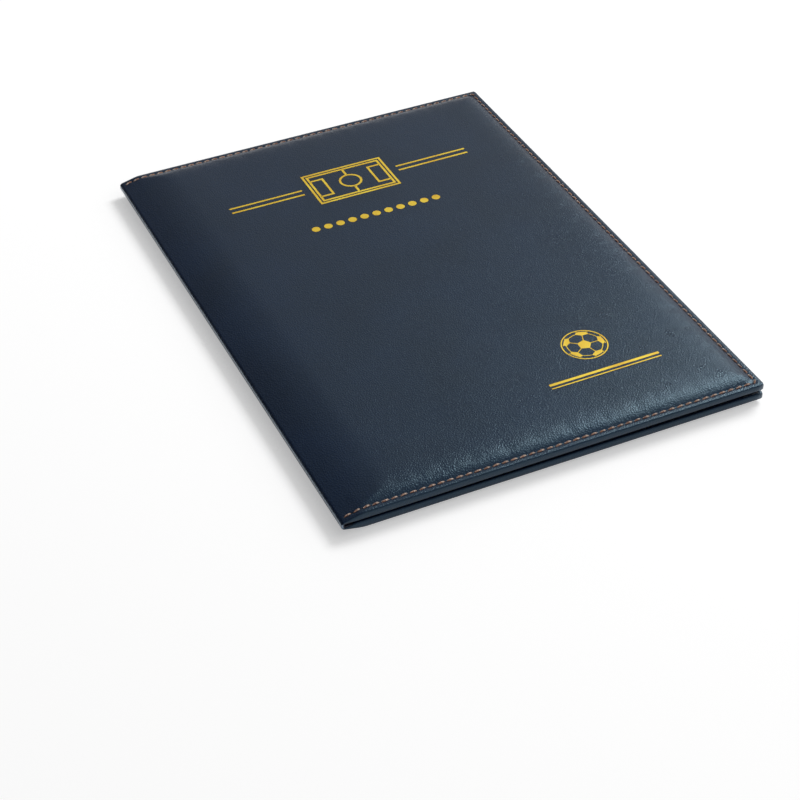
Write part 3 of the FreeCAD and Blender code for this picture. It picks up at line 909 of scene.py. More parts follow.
def bend_line(radius, start, flat):
    """Half a bend from the front panel to the flat at its tip, where it creases, then the same half below."""
    turns = np.linspace(start, math.acos(flat / radius), BEND_STEPS)
    half = [(-radius * math.sin(turn), radius * math.cos(turn)) for turn in turns]
    return half + [(u, -d) for u, d in half[::-1]]


def crease_profile():
    """The crease's outer and inner lines, from the front panel round to the rear one."""
    top = FOLD_RADIUS + TIP_LIFT
    slope = FOLD_RUN / math.sqrt(FOLD_ARC ** 2 - FOLD_RUN ** 2) - 2 * TIP_LIFT / TIP_RUN
    start = math.atan(slope)
    inner = LINING_FACE + CONTACT
    outer_line = [(0.0, top), *bend_line(top * math.cos(start), start, CREASE_FLAT), (0.0, -top)]
    inner_line = [(0.0, inner), *bend_line(inner, start, CREASE_INNER_FLAT), (0.0, -inner)]
    return outer_line, inner_line


def spine_crease():
    """The leather round the fold, with a flat at its tip where it creases."""
    half = HALF_HEIGHT - HEM_BULGE
    lengths = np.linspace(-half, half, SPINE_ROWS)
    round_end = hem_profile()[:-1]
    ring = [(v, 0.0) for v in lengths]
    ring += [(half + HEM_BULGE * outward, share) for outward, share in round_end]
    ring += [(v, 1.0) for v in lengths[::-1]]
    ring += [(-half - HEM_BULGE * outward, share) for outward, share in round_end[::-1]]
    loops = []
    for (outer_u, outer_d), (inner_u, inner_d) in zip(*crease_profile()):
        across, down = inner_u - outer_u, inner_d - outer_d
        loops.append([(outer_u + across * share, v, outer_d + down * share) for v, share in ring])
    piece = tube("spine_crease", placed("front", loops), "leather")
    # Pale wear and a painted highlight on the flat at the crease's tip, on its upper half and by its ends.
    pale_highlight = []
    for vertex in piece.data.vertices:
        in_flat = abs(vertex.co.z - AXIS_Z) < CREASE_FLAT + CONTACT
        by_end = abs(vertex.co.y) > half - CREASE_TIP
        pale_highlight.append(1.0 if in_flat and (by_end or vertex.co.z > AXIS_Z) else 0.0)
    write_attribute(piece, "crease_wear", pale_highlight)
    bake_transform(piece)
    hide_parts("spine_cover_leather")


def strip_line(radius, flat):
    """A line of the lining strip's section: over the front panel, round the fold and over the rear one."""
    reach = np.linspace(SPINE_REACH, 0.0, 6)[:-1]
    return [(u, radius) for u in reach] + bend_line(radius, 0.0, flat) + [(u, -radius) for u in reach[::-1]]


def spine_strip():
    """The lining strip that runs round inside the fold and a little way over each panel."""
    thin_u, thin_d = SPINE_REACH + STRIP_SKIVE, LINING_FACE - STRIP_TIP
    outer_line = strip_line(LINING_FACE, STRIP_FLAT)
    inner_line = strip_line(LINING_FACE - SPINE_STRIP, STRIP_INNER_FLAT)
    section = [(thin_u, thin_d), *outer_line, (thin_u, -thin_d), *inner_line[::-1]]
    lengths = np.linspace(-LINING_HALF, LINING_HALF, SPINE_ROWS)
    loops = [[(u, v, d) for u, d in section] for v in lengths]
    piece = tube("spine_strip", placed("front", loops), "lining")
    rub = []
    for vertex in piece.data.vertices:
        rub.append(STRIP_RUB_FOLD if vertex.co.x < AXIS_X + STRIP_RUB_REACH else STRIP_RUB_FLAT)
    write_attribute(piece, "edge_rub", rub)
    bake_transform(piece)
    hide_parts("spine_lining")


# Border lining: a leatherette frame about the pitch's window
BORDER_WIDTH = 12.0 * MM
WINDOW_START = 12.0 * MM
WINDOW_RADIUS = 3.0 * MM
SQUARE_CORNER = 0.4 * MM
LEAST_CORNER = 0.5 * MM
CORNER_POINTS, SIDE_POINTS = 9, 40
BORDER_SEAM = STITCH_INSET - 0.4 * MM
SEWN_HALF, SEWN_DEPTH = 0.8 * MM, 0.14 * MM
# The soft edges, as distances in from the outer edge or out from the window, and depths under the face
OUTER_EDGE = ((0.0, 0.16 * MM), (0.16 * MM, 0.02 * MM))
WINDOW_EDGE = ((0.9 * MM, 0.0), (0.25 * MM, 0.05 * MM), (0.0, 0.24 * MM))
BORDER_RUB_END, BORDER_RUB_FLAT = 0.5, 0.15
BORDER_RUB_REACH = 0.3 * MM


def frame_loop(start, end, half, fold_radius, open_radius):
    """A closed rounded outline with a fixed count of points, anticlockwise from the fold."""
    corners = [
        (start + fold_radius, -half + fold_radius, fold_radius, math.pi),
        (end - open_radius, -half + open_radius, open_radius, 1.5 * math.pi),
        (end - open_radius, half - open_radius, open_radius, 0.0),
        (start + fold_radius, half - fold_radius, fold_radius, 0.5 * math.pi),
    ]
    arcs = []
    for u, v, radius, first in corners:
        arcs.append(arc_line((u, v), radius, first, first + math.pi / 2, CORNER_POINTS))
    loop = []
    for arc, after in zip(arcs, arcs[1:] + arcs[:1]):
        side = np.linspace(arc[-1], after[0], SIDE_POINTS + 2)
        loop.extend([*arc, *side[1:-1]])
    return loop


def border_lining(panel):
    """The frame of one panel, with a groove along its seam and soft edges."""
    def outer(inset):
        start, end, half = LINING_START + inset, LINING_END - inset, LINING_HALF - inset
        return frame_loop(start, end, half, SQUARE_CORNER, max(CORNER_RADIUS - inset, LEAST_CORNER))

    def window(outset):
        end, half = PANEL_END - BORDER_WIDTH + outset, HALF_HEIGHT - BORDER_WIDTH + outset
        radius = WINDOW_RADIUS + outset
        return frame_loop(WINDOW_START - outset, end, half, radius, radius)

    back = PITCH_FACE - CONTACT
    section = [(outer(0.0), back)]
    section += [(outer(inset), LINING_FACE + depth) for inset, depth in OUTER_EDGE]
    section += [
        (outer(BORDER_SEAM - SEWN_HALF), LINING_FACE),
        (outer(BORDER_SEAM), LINING_FACE + SEWN_DEPTH),
        (outer(BORDER_SEAM + SEWN_HALF), LINING_FACE),
    ]
    section += [(window(outset), LINING_FACE + depth) for outset, depth in WINDOW_EDGE]
    section.append((window(0.0), back))
    loops = [[(u, v, level) for u, v in loop] for loop, level in section]
    piece = tube(f"{panel}_border", placed(panel, loops), "lining", capped=False)
    rub = []
    for vertex in piece.data.vertices:
        rub.append(BORDER_RUB_END if abs(vertex.co.y) > LINING_HALF - BORDER_RUB_REACH else BORDER_RUB_FLAT)
    write_attribute(piece, "edge_rub", rub)
    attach(piece, BODY[panel])
    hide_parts(f"{panel}_border_lining")


# Foam pad under the leather
FOAM_ROOM = 1.05 * MM
FOAM_INSET = 6.2 * MM
FOAM_START = 15.0 * MM
FOAM_LEAST = 0.05 * MM
FOAM_COLUMNS, FOAM_ROWS = 50, 72


def foam(panel):
    """The pad of one panel, from its board up to the leather."""
    half = HALF_HEIGHT - FOAM_INSET
    columns = np.linspace(FOAM_START, PANEL_END - FOAM_INSET, FOAM_COLUMNS)
    u, v = np.meshgrid(columns, np.linspace(-half, half, FOAM_ROWS))
    bottom = np.full(u.shape, BOARD_BACK + CONTACT)
    top = np.maximum(cover_height(panel, u, v) - FOAM_ROOM, bottom + FOAM_LEAST)
    index = np.arange(u.size).reshape(u.shape)
    faces = grid_faces(index)
    faces += [face[::-1] for face in grid_faces(index + u.size)]
    rim = np.concatenate([index[0, :], index[1:, -1], index[-1, -2::-1], index[-2:0:-1, 0]])
    faces.extend(strip_faces(rim, rim + u.size, closed=True))
    spots = np.concatenate([place(panel, u.ravel(), v.ravel(), level.ravel()) for level in (top, bottom)])
    piece = new_piece(f"{panel}_foam", spots, faces, "foam")
    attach(piece, BODY[panel])
    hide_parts(f"{panel}_foam_pad")


# Seam: stitches and needle holes set along a path by one node tree
STITCH_PITCH = 4.6 * MM
STITCH_LENGTH = 3.9 * MM
STITCH_SLANT = math.radians(8.0)
STITCH_UNEVENNESS = 0.06
STITCH_RINGS, STITCH_SIDES = 9, 7
STITCH_LEAST, STITCH_MOST = 0.92, 1.06
WOBBLE = (0.25, 0.25, 1.0)
THREAD_WIDTH = 1.15 * MM
THREAD_HEIGHT = 0.75 * MM
THREAD_ARCH = 0.62
THREAD_SINK = 0.22 * MM
THREAD_TAPER = 0.55
THREAD_LAY = 3.0
HOLE_SIDES = 8
HOLE_RADII = (0.625 * MM, 0.5 * MM)
HOLE_RINGS = ((0.6, 0.0), (1.0, 0.02 * MM), (1.0, -0.3 * MM))  # share of the radii, level
HOLE_DISH, HOLE_FOOT = -0.05 * MM, -0.35 * MM
SEAM_LIFT = 0.05 * MM
SEAM_POINTS = 1500
SEAM_OFF_STRIP = 2.0 * MM
ROW_SOCKETS = {
    "Geometry": "NodeSocketGeometry",
    "Shape": "NodeSocketObject",
    "Finish": "NodeSocketMaterial",
    "Pitch": "NodeSocketFloat",
    "Outwards": "NodeSocketVector",
    "Slant": "NodeSocketFloat",
    "Unevenness": "NodeSocketFloat",
    "Seed": "NodeSocketInt",
}


def row_tree():
    """Set a shape at an even pitch along a path, lying along it with its top outwards."""
    tree = bpy.data.node_groups.new("row_along_a_path", "GeometryNodeTree")
    for label, kind in ROW_SOCKETS.items():
        tree.interface.new_socket(label, in_out="INPUT", socket_type=kind)
    tree.interface.new_socket("Geometry", in_out="OUTPUT", socket_type="NodeSocketGeometry")
    row = Nodes(tree)
    given = row.add("NodeGroupInput")
    path = {"Curve": given["Geometry"], "Length": given["Pitch"]}
    spots = row.add("GeometryNodeResampleCurve", path, mode="LENGTH")[0]
    tangent = row.add("GeometryNodeInputTangent")[0]
    along = row.add("FunctionNodeAlignRotationToVector", {"Vector": tangent}, axis="X")[0]
    facing = {"Rotation": along, "Vector": given["Outwards"]}
    upright = row.add("FunctionNodeAlignRotationToVector", facing, axis="Z", pivot_axis="X")[0]
    reach = {"Min": [-part for part in WOBBLE], "Max": WOBBLE, "Seed": given["Seed"]}
    wobble = row.add("FunctionNodeRandomValue", reach, data_type="FLOAT_VECTOR")[0]
    swing = row.vector("SCALE", {0: wobble, "Scale": given["Unevenness"]})
    lean = row.add("ShaderNodeCombineXYZ", {"Z": given["Slant"]})[0]
    turn = row.add("FunctionNodeEulerToRotation", {0: row.vector("ADD", {0: swing, 1: lean})})[0]
    turned = row.add("FunctionNodeRotateRotation", {0: upright, 1: turn}, rotation_space="LOCAL")[0]
    sizes = {2: STITCH_LEAST, 3: STITCH_MOST, "Seed": given["Seed"]}
    size = row.add("FunctionNodeRandomValue", sizes, data_type="FLOAT")[1]
    source = {"Object": given["Shape"]}
    shape = row.add("GeometryNodeObjectInfo", source, transform_space="ORIGINAL")["Geometry"]
    copies = {"Points": spots, "Instance": shape, "Rotation": turned, "Scale": size}
    real = row.add("GeometryNodeRealizeInstances", {0: row.add("GeometryNodeInstanceOnPoints", copies)[0]})[0]
    dressed = row.add("GeometryNodeSetMaterial", {"Geometry": real, "Material": given["Finish"]})[0]
    row.add("NodeGroupOutput", {0: dressed})
    return tree


ROW_TREE = row_tree()


def set_along(name, path, **values):
    """A plain mesh of shapes set along a path of points, with the row's values by label."""
    curve = bpy.data.curves.new(f"{name}_path", "CURVE")
    curve.dimensions = "3D"
    spline = curve.splines.new("POLY")
    spline.points.add(len(path) - 1)
    spline.points.foreach_set("co", [part for point in path for part in (*point, 1.0)])
    carrier = put(f"{name}_carrier", curve)
    modifier = carrier.modifiers.new("row", "NODES")
    modifier.node_group = ROW_TREE
    for socket in ROW_TREE.interface.items_tree:
        if socket.in_out == "INPUT" and socket.name in values:
            modifier[socket.identifier] = values[socket.name]
    return as_plain_mesh(carrier, name)


def around(sides):
    """Angles of the points of a ring."""
    return [2 * math.pi * side / sides for side in range(sides)]


def stitch_shape():
    """One stitch: a plump thread that rises out of one hole and dives into the next."""
    loops, lay = [], []
    for share in np.arange(STITCH_RINGS) / (STITCH_RINGS - 1):
        x = (share - 0.5) * STITCH_LENGTH
        arch = math.sin(math.pi * share)
        height = THREAD_HEIGHT * arch ** 0.5 * THREAD_ARCH - THREAD_SINK
        plump = 0.5 * (THREAD_TAPER + (1 - THREAD_TAPER) * arch ** 0.6)
        loop = []
        for side, angle in enumerate(around(STITCH_SIDES)):
            y = plump * THREAD_WIDTH * math.cos(angle)
            loop.append((x, y, height + plump * THREAD_HEIGHT * math.sin(angle)))
            lay.append((share * THREAD_LAY, side / STITCH_SIDES))
        loops.append(loop)
    piece = tube("stitch_shape", loops, "thread")
    layer = piece.data.uv_layers.new(name="thread_lay")
    for corner in piece.data.loops:
        layer.data[corner.index].uv = lay[corner.vertex_index]
    return piece


def hole_shape():
    """A needle hole: a small dished disc that the thread ends dive into, which carries the hole's painted
    shade.
    """
    long, wide = HOLE_RADII
    points = [(0.0, 0.0, HOLE_DISH)]
    for share, level in HOLE_RINGS:
        for angle in around(HOLE_SIDES):
            points.append((long * share * math.cos(angle), wide * share * math.sin(angle), level))
    points.append((0.0, 0.0, HOLE_FOOT))
    rows = np.arange(1, len(points) - 1).reshape(-1, HOLE_SIDES)
    faces = []
    for first, second in zip(rows, rows[1:]):
        faces.extend(strip_faces(first, second, closed=True))
    for middle, ring in ((0, rows[0]), (len(points) - 1, rows[-1])):
        faces.extend((middle, first, second) for first, second in zip(ring, np.roll(ring, -1)))
    return face_outwards(new_piece("hole_shape", points, faces, "hole"))


def seam_plan(shift):
    """Plan of the seam on three sides, from the fold round the open side and back, and its pitch.

    The pitch is fitted, so that the seam holds whole stitches. The seam starts and ends a shift, in pitches,
    off the fold.
    """
    side = PANEL_END - STITCH_INSET
    end = HALF_HEIGHT - STITCH_INSET
    middle = (side - STITCH_CORNER, STITCH_CORNER - end)
    half = [(0.0, -end), *arc_line(middle, STITCH_CORNER, -math.pi / 2, 0.0, 7)]
    corners = np.array(half + [(u, -v) for u, v in half[::-1]])
    lengths = np.concatenate([[0.0], np.cumsum(np.hypot(*np.diff(corners, axis=0).T))])
    pitch = lengths[-1] / round(lengths[-1] / STITCH_PITCH)
    steps = np.linspace(shift * pitch, lengths[-1] - shift * pitch, SEAM_POINTS)
    return np.interp(steps, lengths, corners[:, 0]), np.interp(steps, lengths, corners[:, 1]), pitch


def join_into(piece, *others):
    """Add other meshes, with their finishes, to a piece."""
    with open_mesh(piece) as work:
        for other in others:
            shift = len(piece.data.materials)
            for finish in other.data.materials:
                piece.data.materials.append(finish)
            known = len(work.faces)
            work.from_mesh(other.data)
            work.faces.ensure_lookup_table()
            for face in work.faces[known:]:
                face.material_index += shift
            take_away(other)
    return piece


def seam(panel, stitch, hole):
    """The stitches of one panel, on its cover and on its border lining, with the painted shade of their
    needle holes.
    """
    rows = []
    for label, shape, finishes, shift, slant, unevenness in (
        ("stitches", stitch, ("thread", "bobbin"), 0.5, STITCH_SLANT, STITCH_UNEVENNESS),
        ("holes", hole, ("hole", "hole"), 1.0, 0.0, 0.0),
    ):
        u, v, pitch = seam_plan(shift)
        on_lining = np.full(u.shape, LINING_FACE + SEWN_DEPTH - SEAM_LIFT)
        for face, finish, d, outwards, start in (
            ("cover", finishes[0], cover_height(panel, u, v) + SEAM_LIFT, SIDE[panel], 0.0),
            ("lining", finishes[1], on_lining, -SIDE[panel], SPINE_REACH + SEAM_OFF_STRIP),
        ):
            keep = u > start
            rows.append(set_along(
                f"{panel}_{face}_{label}",
                place(panel, u[keep], v[keep], d[keep]),
                Shape=shape,
                Finish=FINISH[finish],
                Pitch=pitch,
                Outwards=(0.0, 0.0, outwards),
                Slant=slant,
                Unevenness=unevenness,
                Seed=COVER_SEED[panel],
            ))
    piece = join_into(*rows)
    piece.name = f"{panel}_seam"
    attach(piece, BODY[panel])
    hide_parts(f"{panel}_seam_thread")


# Print: foil on the front cover, markings on the pitch and figures on the magnets
FOIL_THICKNESS = 0.03 * MM
FOIL_LIFT = 0.03 * MM
FOIL_STEP = 1.5 * MM
STAMP_LIFT = 0.015 * MM
STAMP_EDGE = 0.42 * MM
MITRE_LEAST = 0.35
PATCH_RINGS = (1.0, 0.6, 0.25)


def ribbon_edges(line, width, closed):
    """Left and right edges of a band of even width along a line in plan, with mitred turns."""
    line = np.asarray(line, float)
    if closed:
        ahead = np.roll(line, -1, axis=0) - line
        behind = line - np.roll(line, 1, axis=0)
    else:
        steps = np.diff(line, axis=0)
        ahead = np.vstack([steps, steps[-1:]])
        behind = np.vstack([steps[:1], steps])
    ahead = unit(ahead)
    along = unit(ahead + unit(behind))
    square = np.stack([-along[:, 1], along[:, 0]], axis=-1)
    reach = 0.5 * width / np.clip(np.sum(along * ahead, axis=1, keepdims=True), MITRE_LEAST, None)
    return line + square * reach, line - square * reach


def divided(line, closed, step):
    """A line with points about a step apart, so that it can follow a curved face."""
    line = [np.asarray(point, float) for point in line]
    if closed:
        line = line + line[:1]
    fine = []
    for start, end in zip(line, line[1:]):
        count = max(int(np.linalg.norm(end - start) / step), 1)
        fine.extend(start + (end - start) * share for share in np.arange(count) / count)
    if not closed:
        fine.append(line[-1])
    return fine


class Print:
    """Flat bands and patches, laid on a face by a fit, that are collected into one mesh.

    The points along a band are a step apart.
    """

    def __init__(self, fit, step=math.inf):
        self.fit = fit
        self.step = step
        self.points = []
        self.faces = []

    def band(self, line, width, closed=False):
        """A band of even width along a line."""
        left, right = ribbon_edges(divided(line, closed, self.step), width, closed)
        row = len(self.points) + np.arange(len(left))
        self.points.extend([*self.fit(left), *self.fit(right)])
        self.faces.extend(strip_faces(row, row + len(left), closed))

    def patch(self, outline):
        """A filled patch, round about its middle."""
        outline = np.asarray(outline, float)
        middle = outline.mean(axis=0)
        row = len(self.points) + np.arange(len(outline))
        for share in PATCH_RINGS:
            self.points.extend(self.fit(middle + (outline - middle) * share))
        for _ in PATCH_RINGS[1:]:
            self.faces.extend(strip_faces(row, row + len(outline), closed=True))
            row = row + len(outline)
        self.faces.append(row)

    def make(self, name, finish, outwards):
        """The mesh, with its faces turned to one side and a foil's thickness under them."""
        piece = new_piece(name, self.points, self.faces, finish, smooth=False)
        with open_mesh(piece) as work:
            for face in work.faces:
                if face.normal.z * outwards < 0:
                    face.normal_flip()
        return give_thickness(piece, FOIL_THICKNESS)


# A plain football of twelve five-sided patches
BALL_IN_RING = 0.92
BALL_PATCH_LOW = -0.2
BALL_PEAKS = 12


def football_lines():
    """A ball seen square to one of its patches, on a circle of radius 1.

    Returns the patches that face the viewer and the seams that join their corners.
    """
    golden = (1 + math.sqrt(5)) / 2
    peaks = []
    for a in (-1, 1):
        for b in (-golden, golden):
            peaks += [(0, a, b), (a, b, 0), (b, 0, a)]
    peaks = [Vector(peak).normalized() for peak in peaks]
    face_on = max(peaks, key=lambda peak: (round(peak.z, 6), round(peak.y, 6)))
    turn = face_on.rotation_difference(Vector((0, 0, 1))).to_matrix()
    peaks = [turn @ peak for peak in peaks]
    gaps = [[(peak - other).length for other in peaks] for peak in peaks]
    reach = 1.1 * min(gap for row in gaps for gap in row if gap > 0.1)
    patches, seams = [], []
    for i, peak in enumerate(peaks):
        near = [j for j in range(BALL_PEAKS) if j != i and gaps[i][j] < reach]
        corners = {j: (peak * 2 + peaks[j]).normalized() for j in near}
        if peak.z > BALL_PATCH_LOW:
            base = corners[near[0]] - peak
            square = peak.cross(base)
            arms = {j: corners[j] - peak for j in near}
            near.sort(key=lambda j: math.atan2(arms[j].dot(square), arms[j].dot(base)))
            patches.append([corners[j] for j in near])
        for j in near:
            if i < j:
                seams.append((corners[j], (peaks[j] * 2 + peak).normalized()))
    return patches, seams


def seen_arc(start, end, count=7):
    """The part of a great-circle arc that faces the viewer, in plan."""
    points = [start.lerp(end, share).normalized() for share in np.linspace(0, 1, count)]
    return [(point.x, point.y) for point in points if point.z >= 0.0]


def draw_football(target, centre, radius, seam_width, ring_width, spin):
    """Filled patches, joining seams and a ring."""
    turn = np.array([[math.cos(spin), -math.sin(spin)], [math.sin(spin), math.cos(spin)]])

    def at(points):
        return np.asarray(centre) + BALL_IN_RING * radius * np.asarray(points) @ turn.T

    patches, seams = football_lines()
    for corners in patches:
        outline = []
        for start, end in zip(corners, corners[1:] + corners[:1]):
            outline.extend(seen_arc(start, end)[:-1])
        if len(outline) > 5:
            target.patch(at(outline))
    for start, end in seams:
        line = seen_arc(start, end)
        if len(line) > 2:
            target.band(at(line), seam_width)
    target.band(circle_line(centre, radius), ring_width, closed=True)


# Foil stamped on the front cover, by places in the part's plan
PLAN_MIDDLE = (3.5 * MM, 93.5 * MM)
PLAN_LENGTH = 46.0 * MM
PLAN_WIDTH = 29.0 * MM
PLAN_RING = 0.2 * PLAN_WIDTH
PLAN_BOX_DEPTH, PLAN_BOX_HALF = 0.16 * PLAN_LENGTH, 0.28 * PLAN_WIDTH
RULE_GAP = 5.0 * MM
RULE_REACH = 70.0 * MM
FOIL_LINE = 1.25 * MM
FOIL_SPACE = 2.1 * MM
FOIL_RULES = 4.2 * MM
DOT_ROW_Y = 57.5 * MM
DOT_LEFT, DOT_RIGHT = -32.0 * MM, 38.0 * MM
DOT_RADIUS = 2.3 * MM
DOT_POINTS = 20
PLAYERS = 11
BALL_MIDDLE = (46.0 * MM, -93.4 * MM)
BALL_RADIUS = 11.3 * MM
BALL_SEAM, BALL_RING = 0.4 * MM, 0.6 * MM
BALL_SPIN = 0.3
RULE_LEFT, RULE_RIGHT = 15.5 * MM, 75.0 * MM
RULES = ((-114.5 * MM, 1.6 * MM), (-117.2 * MM, 0.7 * MM))  # place along the cover, width


def pitch_plan(target, width):
    """A small pitch plan in double lines between two pairs of rules."""
    x, y = PLAN_MIDDLE
    half_length, half_width = 0.5 * PLAN_LENGTH, 0.5 * PLAN_WIDTH
    goal = half_length - FOIL_SPACE
    front = goal - PLAN_BOX_DEPTH
    half = PLAN_BOX_HALF

    def line(points, closed=False):
        target.band([(x + across, y + along) for across, along in points], width, closed)

    for inset in (0.0, FOIL_SPACE):
        left, low = half_length - inset, half_width - inset
        line([(-left, -low), (left, -low), (left, low), (-left, low)], closed=True)
    for side in (-1, 1):
        line([(side * goal, -half), (side * front, -half), (side * front, half), (side * goal, half)])
        line([(0.0, side * PLAN_RING), (0.0, side * (half_width - FOIL_SPACE))])
        for along in (-0.5 * FOIL_RULES, 0.5 * FOIL_RULES):
            line([(side * (half_length + RULE_GAP), along), (side * RULE_REACH, along)])
    line(circle_line((0.0, 0.0), PLAN_RING), closed=True)


def draw_foil(target, spare):
    """All the foil of the cover, wider by a spare edge for the painted shade of the stamped outline."""
    pitch_plan(target, FOIL_LINE + spare)
    for x in np.linspace(DOT_LEFT, DOT_RIGHT, PLAYERS):
        target.patch(circle_line((x, DOT_ROW_Y), DOT_RADIUS + 0.5 * spare, DOT_POINTS))
    draw_football(target, BALL_MIDDLE, BALL_RADIUS, BALL_SEAM + spare, BALL_RING + spare, BALL_SPIN)
    for y, width in RULES:
        target.band([(RULE_LEFT, y), (RULE_RIGHT, y)], width + spare)


def on_cover(lift):
    """A fit to the front cover's face, a lift above it, of points in the part's plan."""
    def fit(points):
        x, y = np.array(points).T
        return place("front", x - AXIS_X, y, cover_height("front", x - AXIS_X, y) + lift)

    return fit


def cover_foil():
    """The foil, and the painted shade of its pressed edge that shows a little way round it."""
    for name, finish, spare, lift in (
        ("cover_foil", "foil", 0.0, FOIL_LIFT),
        ("cover_foil_stamp", "stamp", STAMP_EDGE, STAMP_LIFT),
    ):
        target = Print(on_cover(lift), FOIL_STEP)
        draw_foil(target, spare)
        piece = target.make(name, finish, 1.0)
        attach(piece, "front_panel")


# Inside: markings on the pitch, in metres of the real one, and figures on the magnets
LINE_WIDTH = 1.2 * MM
LINE_LIFT = 0.02 * MM
HALFWAY_U = 14.5 * MM
PITCH_SCALE = 3.5 * MM
GOAL_LINE = 52.5
TOUCH_LINE = 34.0
CIRCLE = 9.15
GOAL_BOXES = ((16.5, 20.16), (5.5, 9.16))  # depth, half width
PENALTY_SPOT, SPOT_RADIUS = 11.0, 0.45
CORNER_ARC = 1.6
DIGIT_HEIGHT = 10.0 * MM
DIGIT_BOLD = 0.18 * MM
MAGNET_RECESS = 0.25 * MM
FIGURE_LIFT = 0.02 * MM
PRINT_RADIUS = 6.2 * MM
PRINT_SEAM, PRINT_RING = 0.35 * MM, 0.4 * MM


def half_pitch(panel):
    """White markings of half a pitch, with its halfway line at the fold."""
    def on_pitch(points):
        along, across = np.array(points).T
        level = np.full(along.shape, PITCH_FACE - LINE_LIFT)
        return place(panel, HALFWAY_U + along * PITCH_SCALE, across * PITCH_SCALE, level)

    target = Print(on_pitch)
    width = LINE_WIDTH / PITCH_SCALE
    goal, touch = GOAL_LINE, TOUCH_LINE
    target.band([(0, -touch), (goal, -touch), (goal, touch), (0, touch)], width, closed=True)
    target.band(arc_line((0, 0), CIRCLE, -math.pi / 2, math.pi / 2), width)
    for depth, half in GOAL_BOXES:
        front = goal - depth
        target.band([(goal, -half), (front, -half), (front, half), (goal, half)], width)
    spot = (goal - PENALTY_SPOT, 0)
    target.patch(circle_line(spot, SPOT_RADIUS, DOT_POINTS))
    reach = math.acos((GOAL_BOXES[0][0] - PENALTY_SPOT) / CIRCLE)
    target.band(arc_line(spot, CIRCLE, math.pi - reach, math.pi + reach), width)
    for end, first in ((-1, math.pi / 2), (1, math.pi)):
        target.band(arc_line((goal, end * touch), CORNER_ARC, first, first + math.pi / 2, 13), width)
    piece = target.make(f"{panel}_pitch_lines", "line", -SIDE[panel])
    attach(piece, BODY[panel])


def magnet_face(node, panel):
    """Middle of a magnet's printed face."""
    low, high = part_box(node)
    middle = (low + high) / 2
    middle.z = high.z - MAGNET_RECESS if panel == "rear" else low.z + MAGNET_RECESS
    return middle


def magnet_number(node, panel, number):
    """A plain number on a magnet, which reads upright when the board lies open."""
    letters = bpy.data.curves.new(f"{node}_figure", "FONT")
    letters.body = str(number)
    letters.size = DIGIT_HEIGHT
    letters.align_x = "CENTER"
    letters.align_y = "CENTER"
    letters.extrude = FOIL_THICKNESS
    letters.offset = DIGIT_BOLD
    carrier = put(f"{node}_carrier", letters)
    turned = Matrix.Rotation(math.pi, 4, "Y") if panel == "front" else Matrix.Identity(4)
    carrier.matrix_world = Matrix.Translation(magnet_face(node, panel)) @ turned
    piece = as_plain_mesh(carrier, f"{node}_number")
    piece.data.materials.clear()
    piece.data.materials.append(FINISH["digit"])
    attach(piece, node)


def ball_print():
    """Dark patches and seams on the ball magnet."""
    middle = magnet_face("ball_magnet", "rear")

    def on_magnet(points):
        x, y = np.array(points).T
        return np.stack([x, y, np.full(x.shape, middle.z + FIGURE_LIFT)], axis=-1)

    target = Print(on_magnet)
    draw_football(target, (middle.x, middle.y), PRINT_RADIUS, PRINT_SEAM, PRINT_RING, 0.0)
    piece = target.make("ball_magnet_print", "patch", 1.0)
    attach(piece, "ball_magnet")


def dress(node, finish):
    """Give a carried-over node its finish."""
    mesh = frame["nodes"][node].data
    mesh.materials.clear()
    mesh.materials.append(FINISH[finish])


def dress_inside():
    """Finishes of the sheets and magnets, and the magnets' figures."""
    for panel in PANELS:
        dress(f"{panel}_pitch_sheet", "pitch")
        dress(f"{panel}_steel_sheet", "steel")
        dress(f"{panel}_backing_board", "board")
    for number in range(1, PLAYERS + 1):
        for tint, panel in (("red", "rear"), ("blue", "front")):
            node = f"{tint}_magnet_{number:02d}"
            dress(node, tint)
            magnet_number(node, panel, number)
    dress("ball_magnet", "white")
    ball_print()


# Stage
WHITE = (1.0, 1.0, 1.0, 1.0)
FLOOR_REACH = 60.0
FLOOR_TONE = (0.82, 0.82, 0.82, 1.0)
FLOOR_GLOW = 0.42
BACKDROP_LOW, BACKDROP_HIGH = 0.05, 0.35
BACKDROP_LIGHT, CEILING_LIGHT = 0.3, 0.72
DARK_SIDE, LIGHT_SIDE = -0.3, 0.5
DARK_SHARE = 0.1
HORIZON_LOW, HORIZON_HIGH = 0.02, 0.05
HORIZON_LIGHT = 0.75
CAMERA_TURN = math.radians(23.703)
CAMERA_TILT = math.radians(38.684)
CAMERA_ROLL = math.radians(1.518)
CAMERA_DISTANCE = 0.9372
CAMERA_TARGET = Vector((-46.5 * MM, -79.6 * MM, 1.8 * MM))
CAMERA_LENS, CAMERA_SENSOR = 88.0, 36.0
CAMERA_NEAR = 0.05


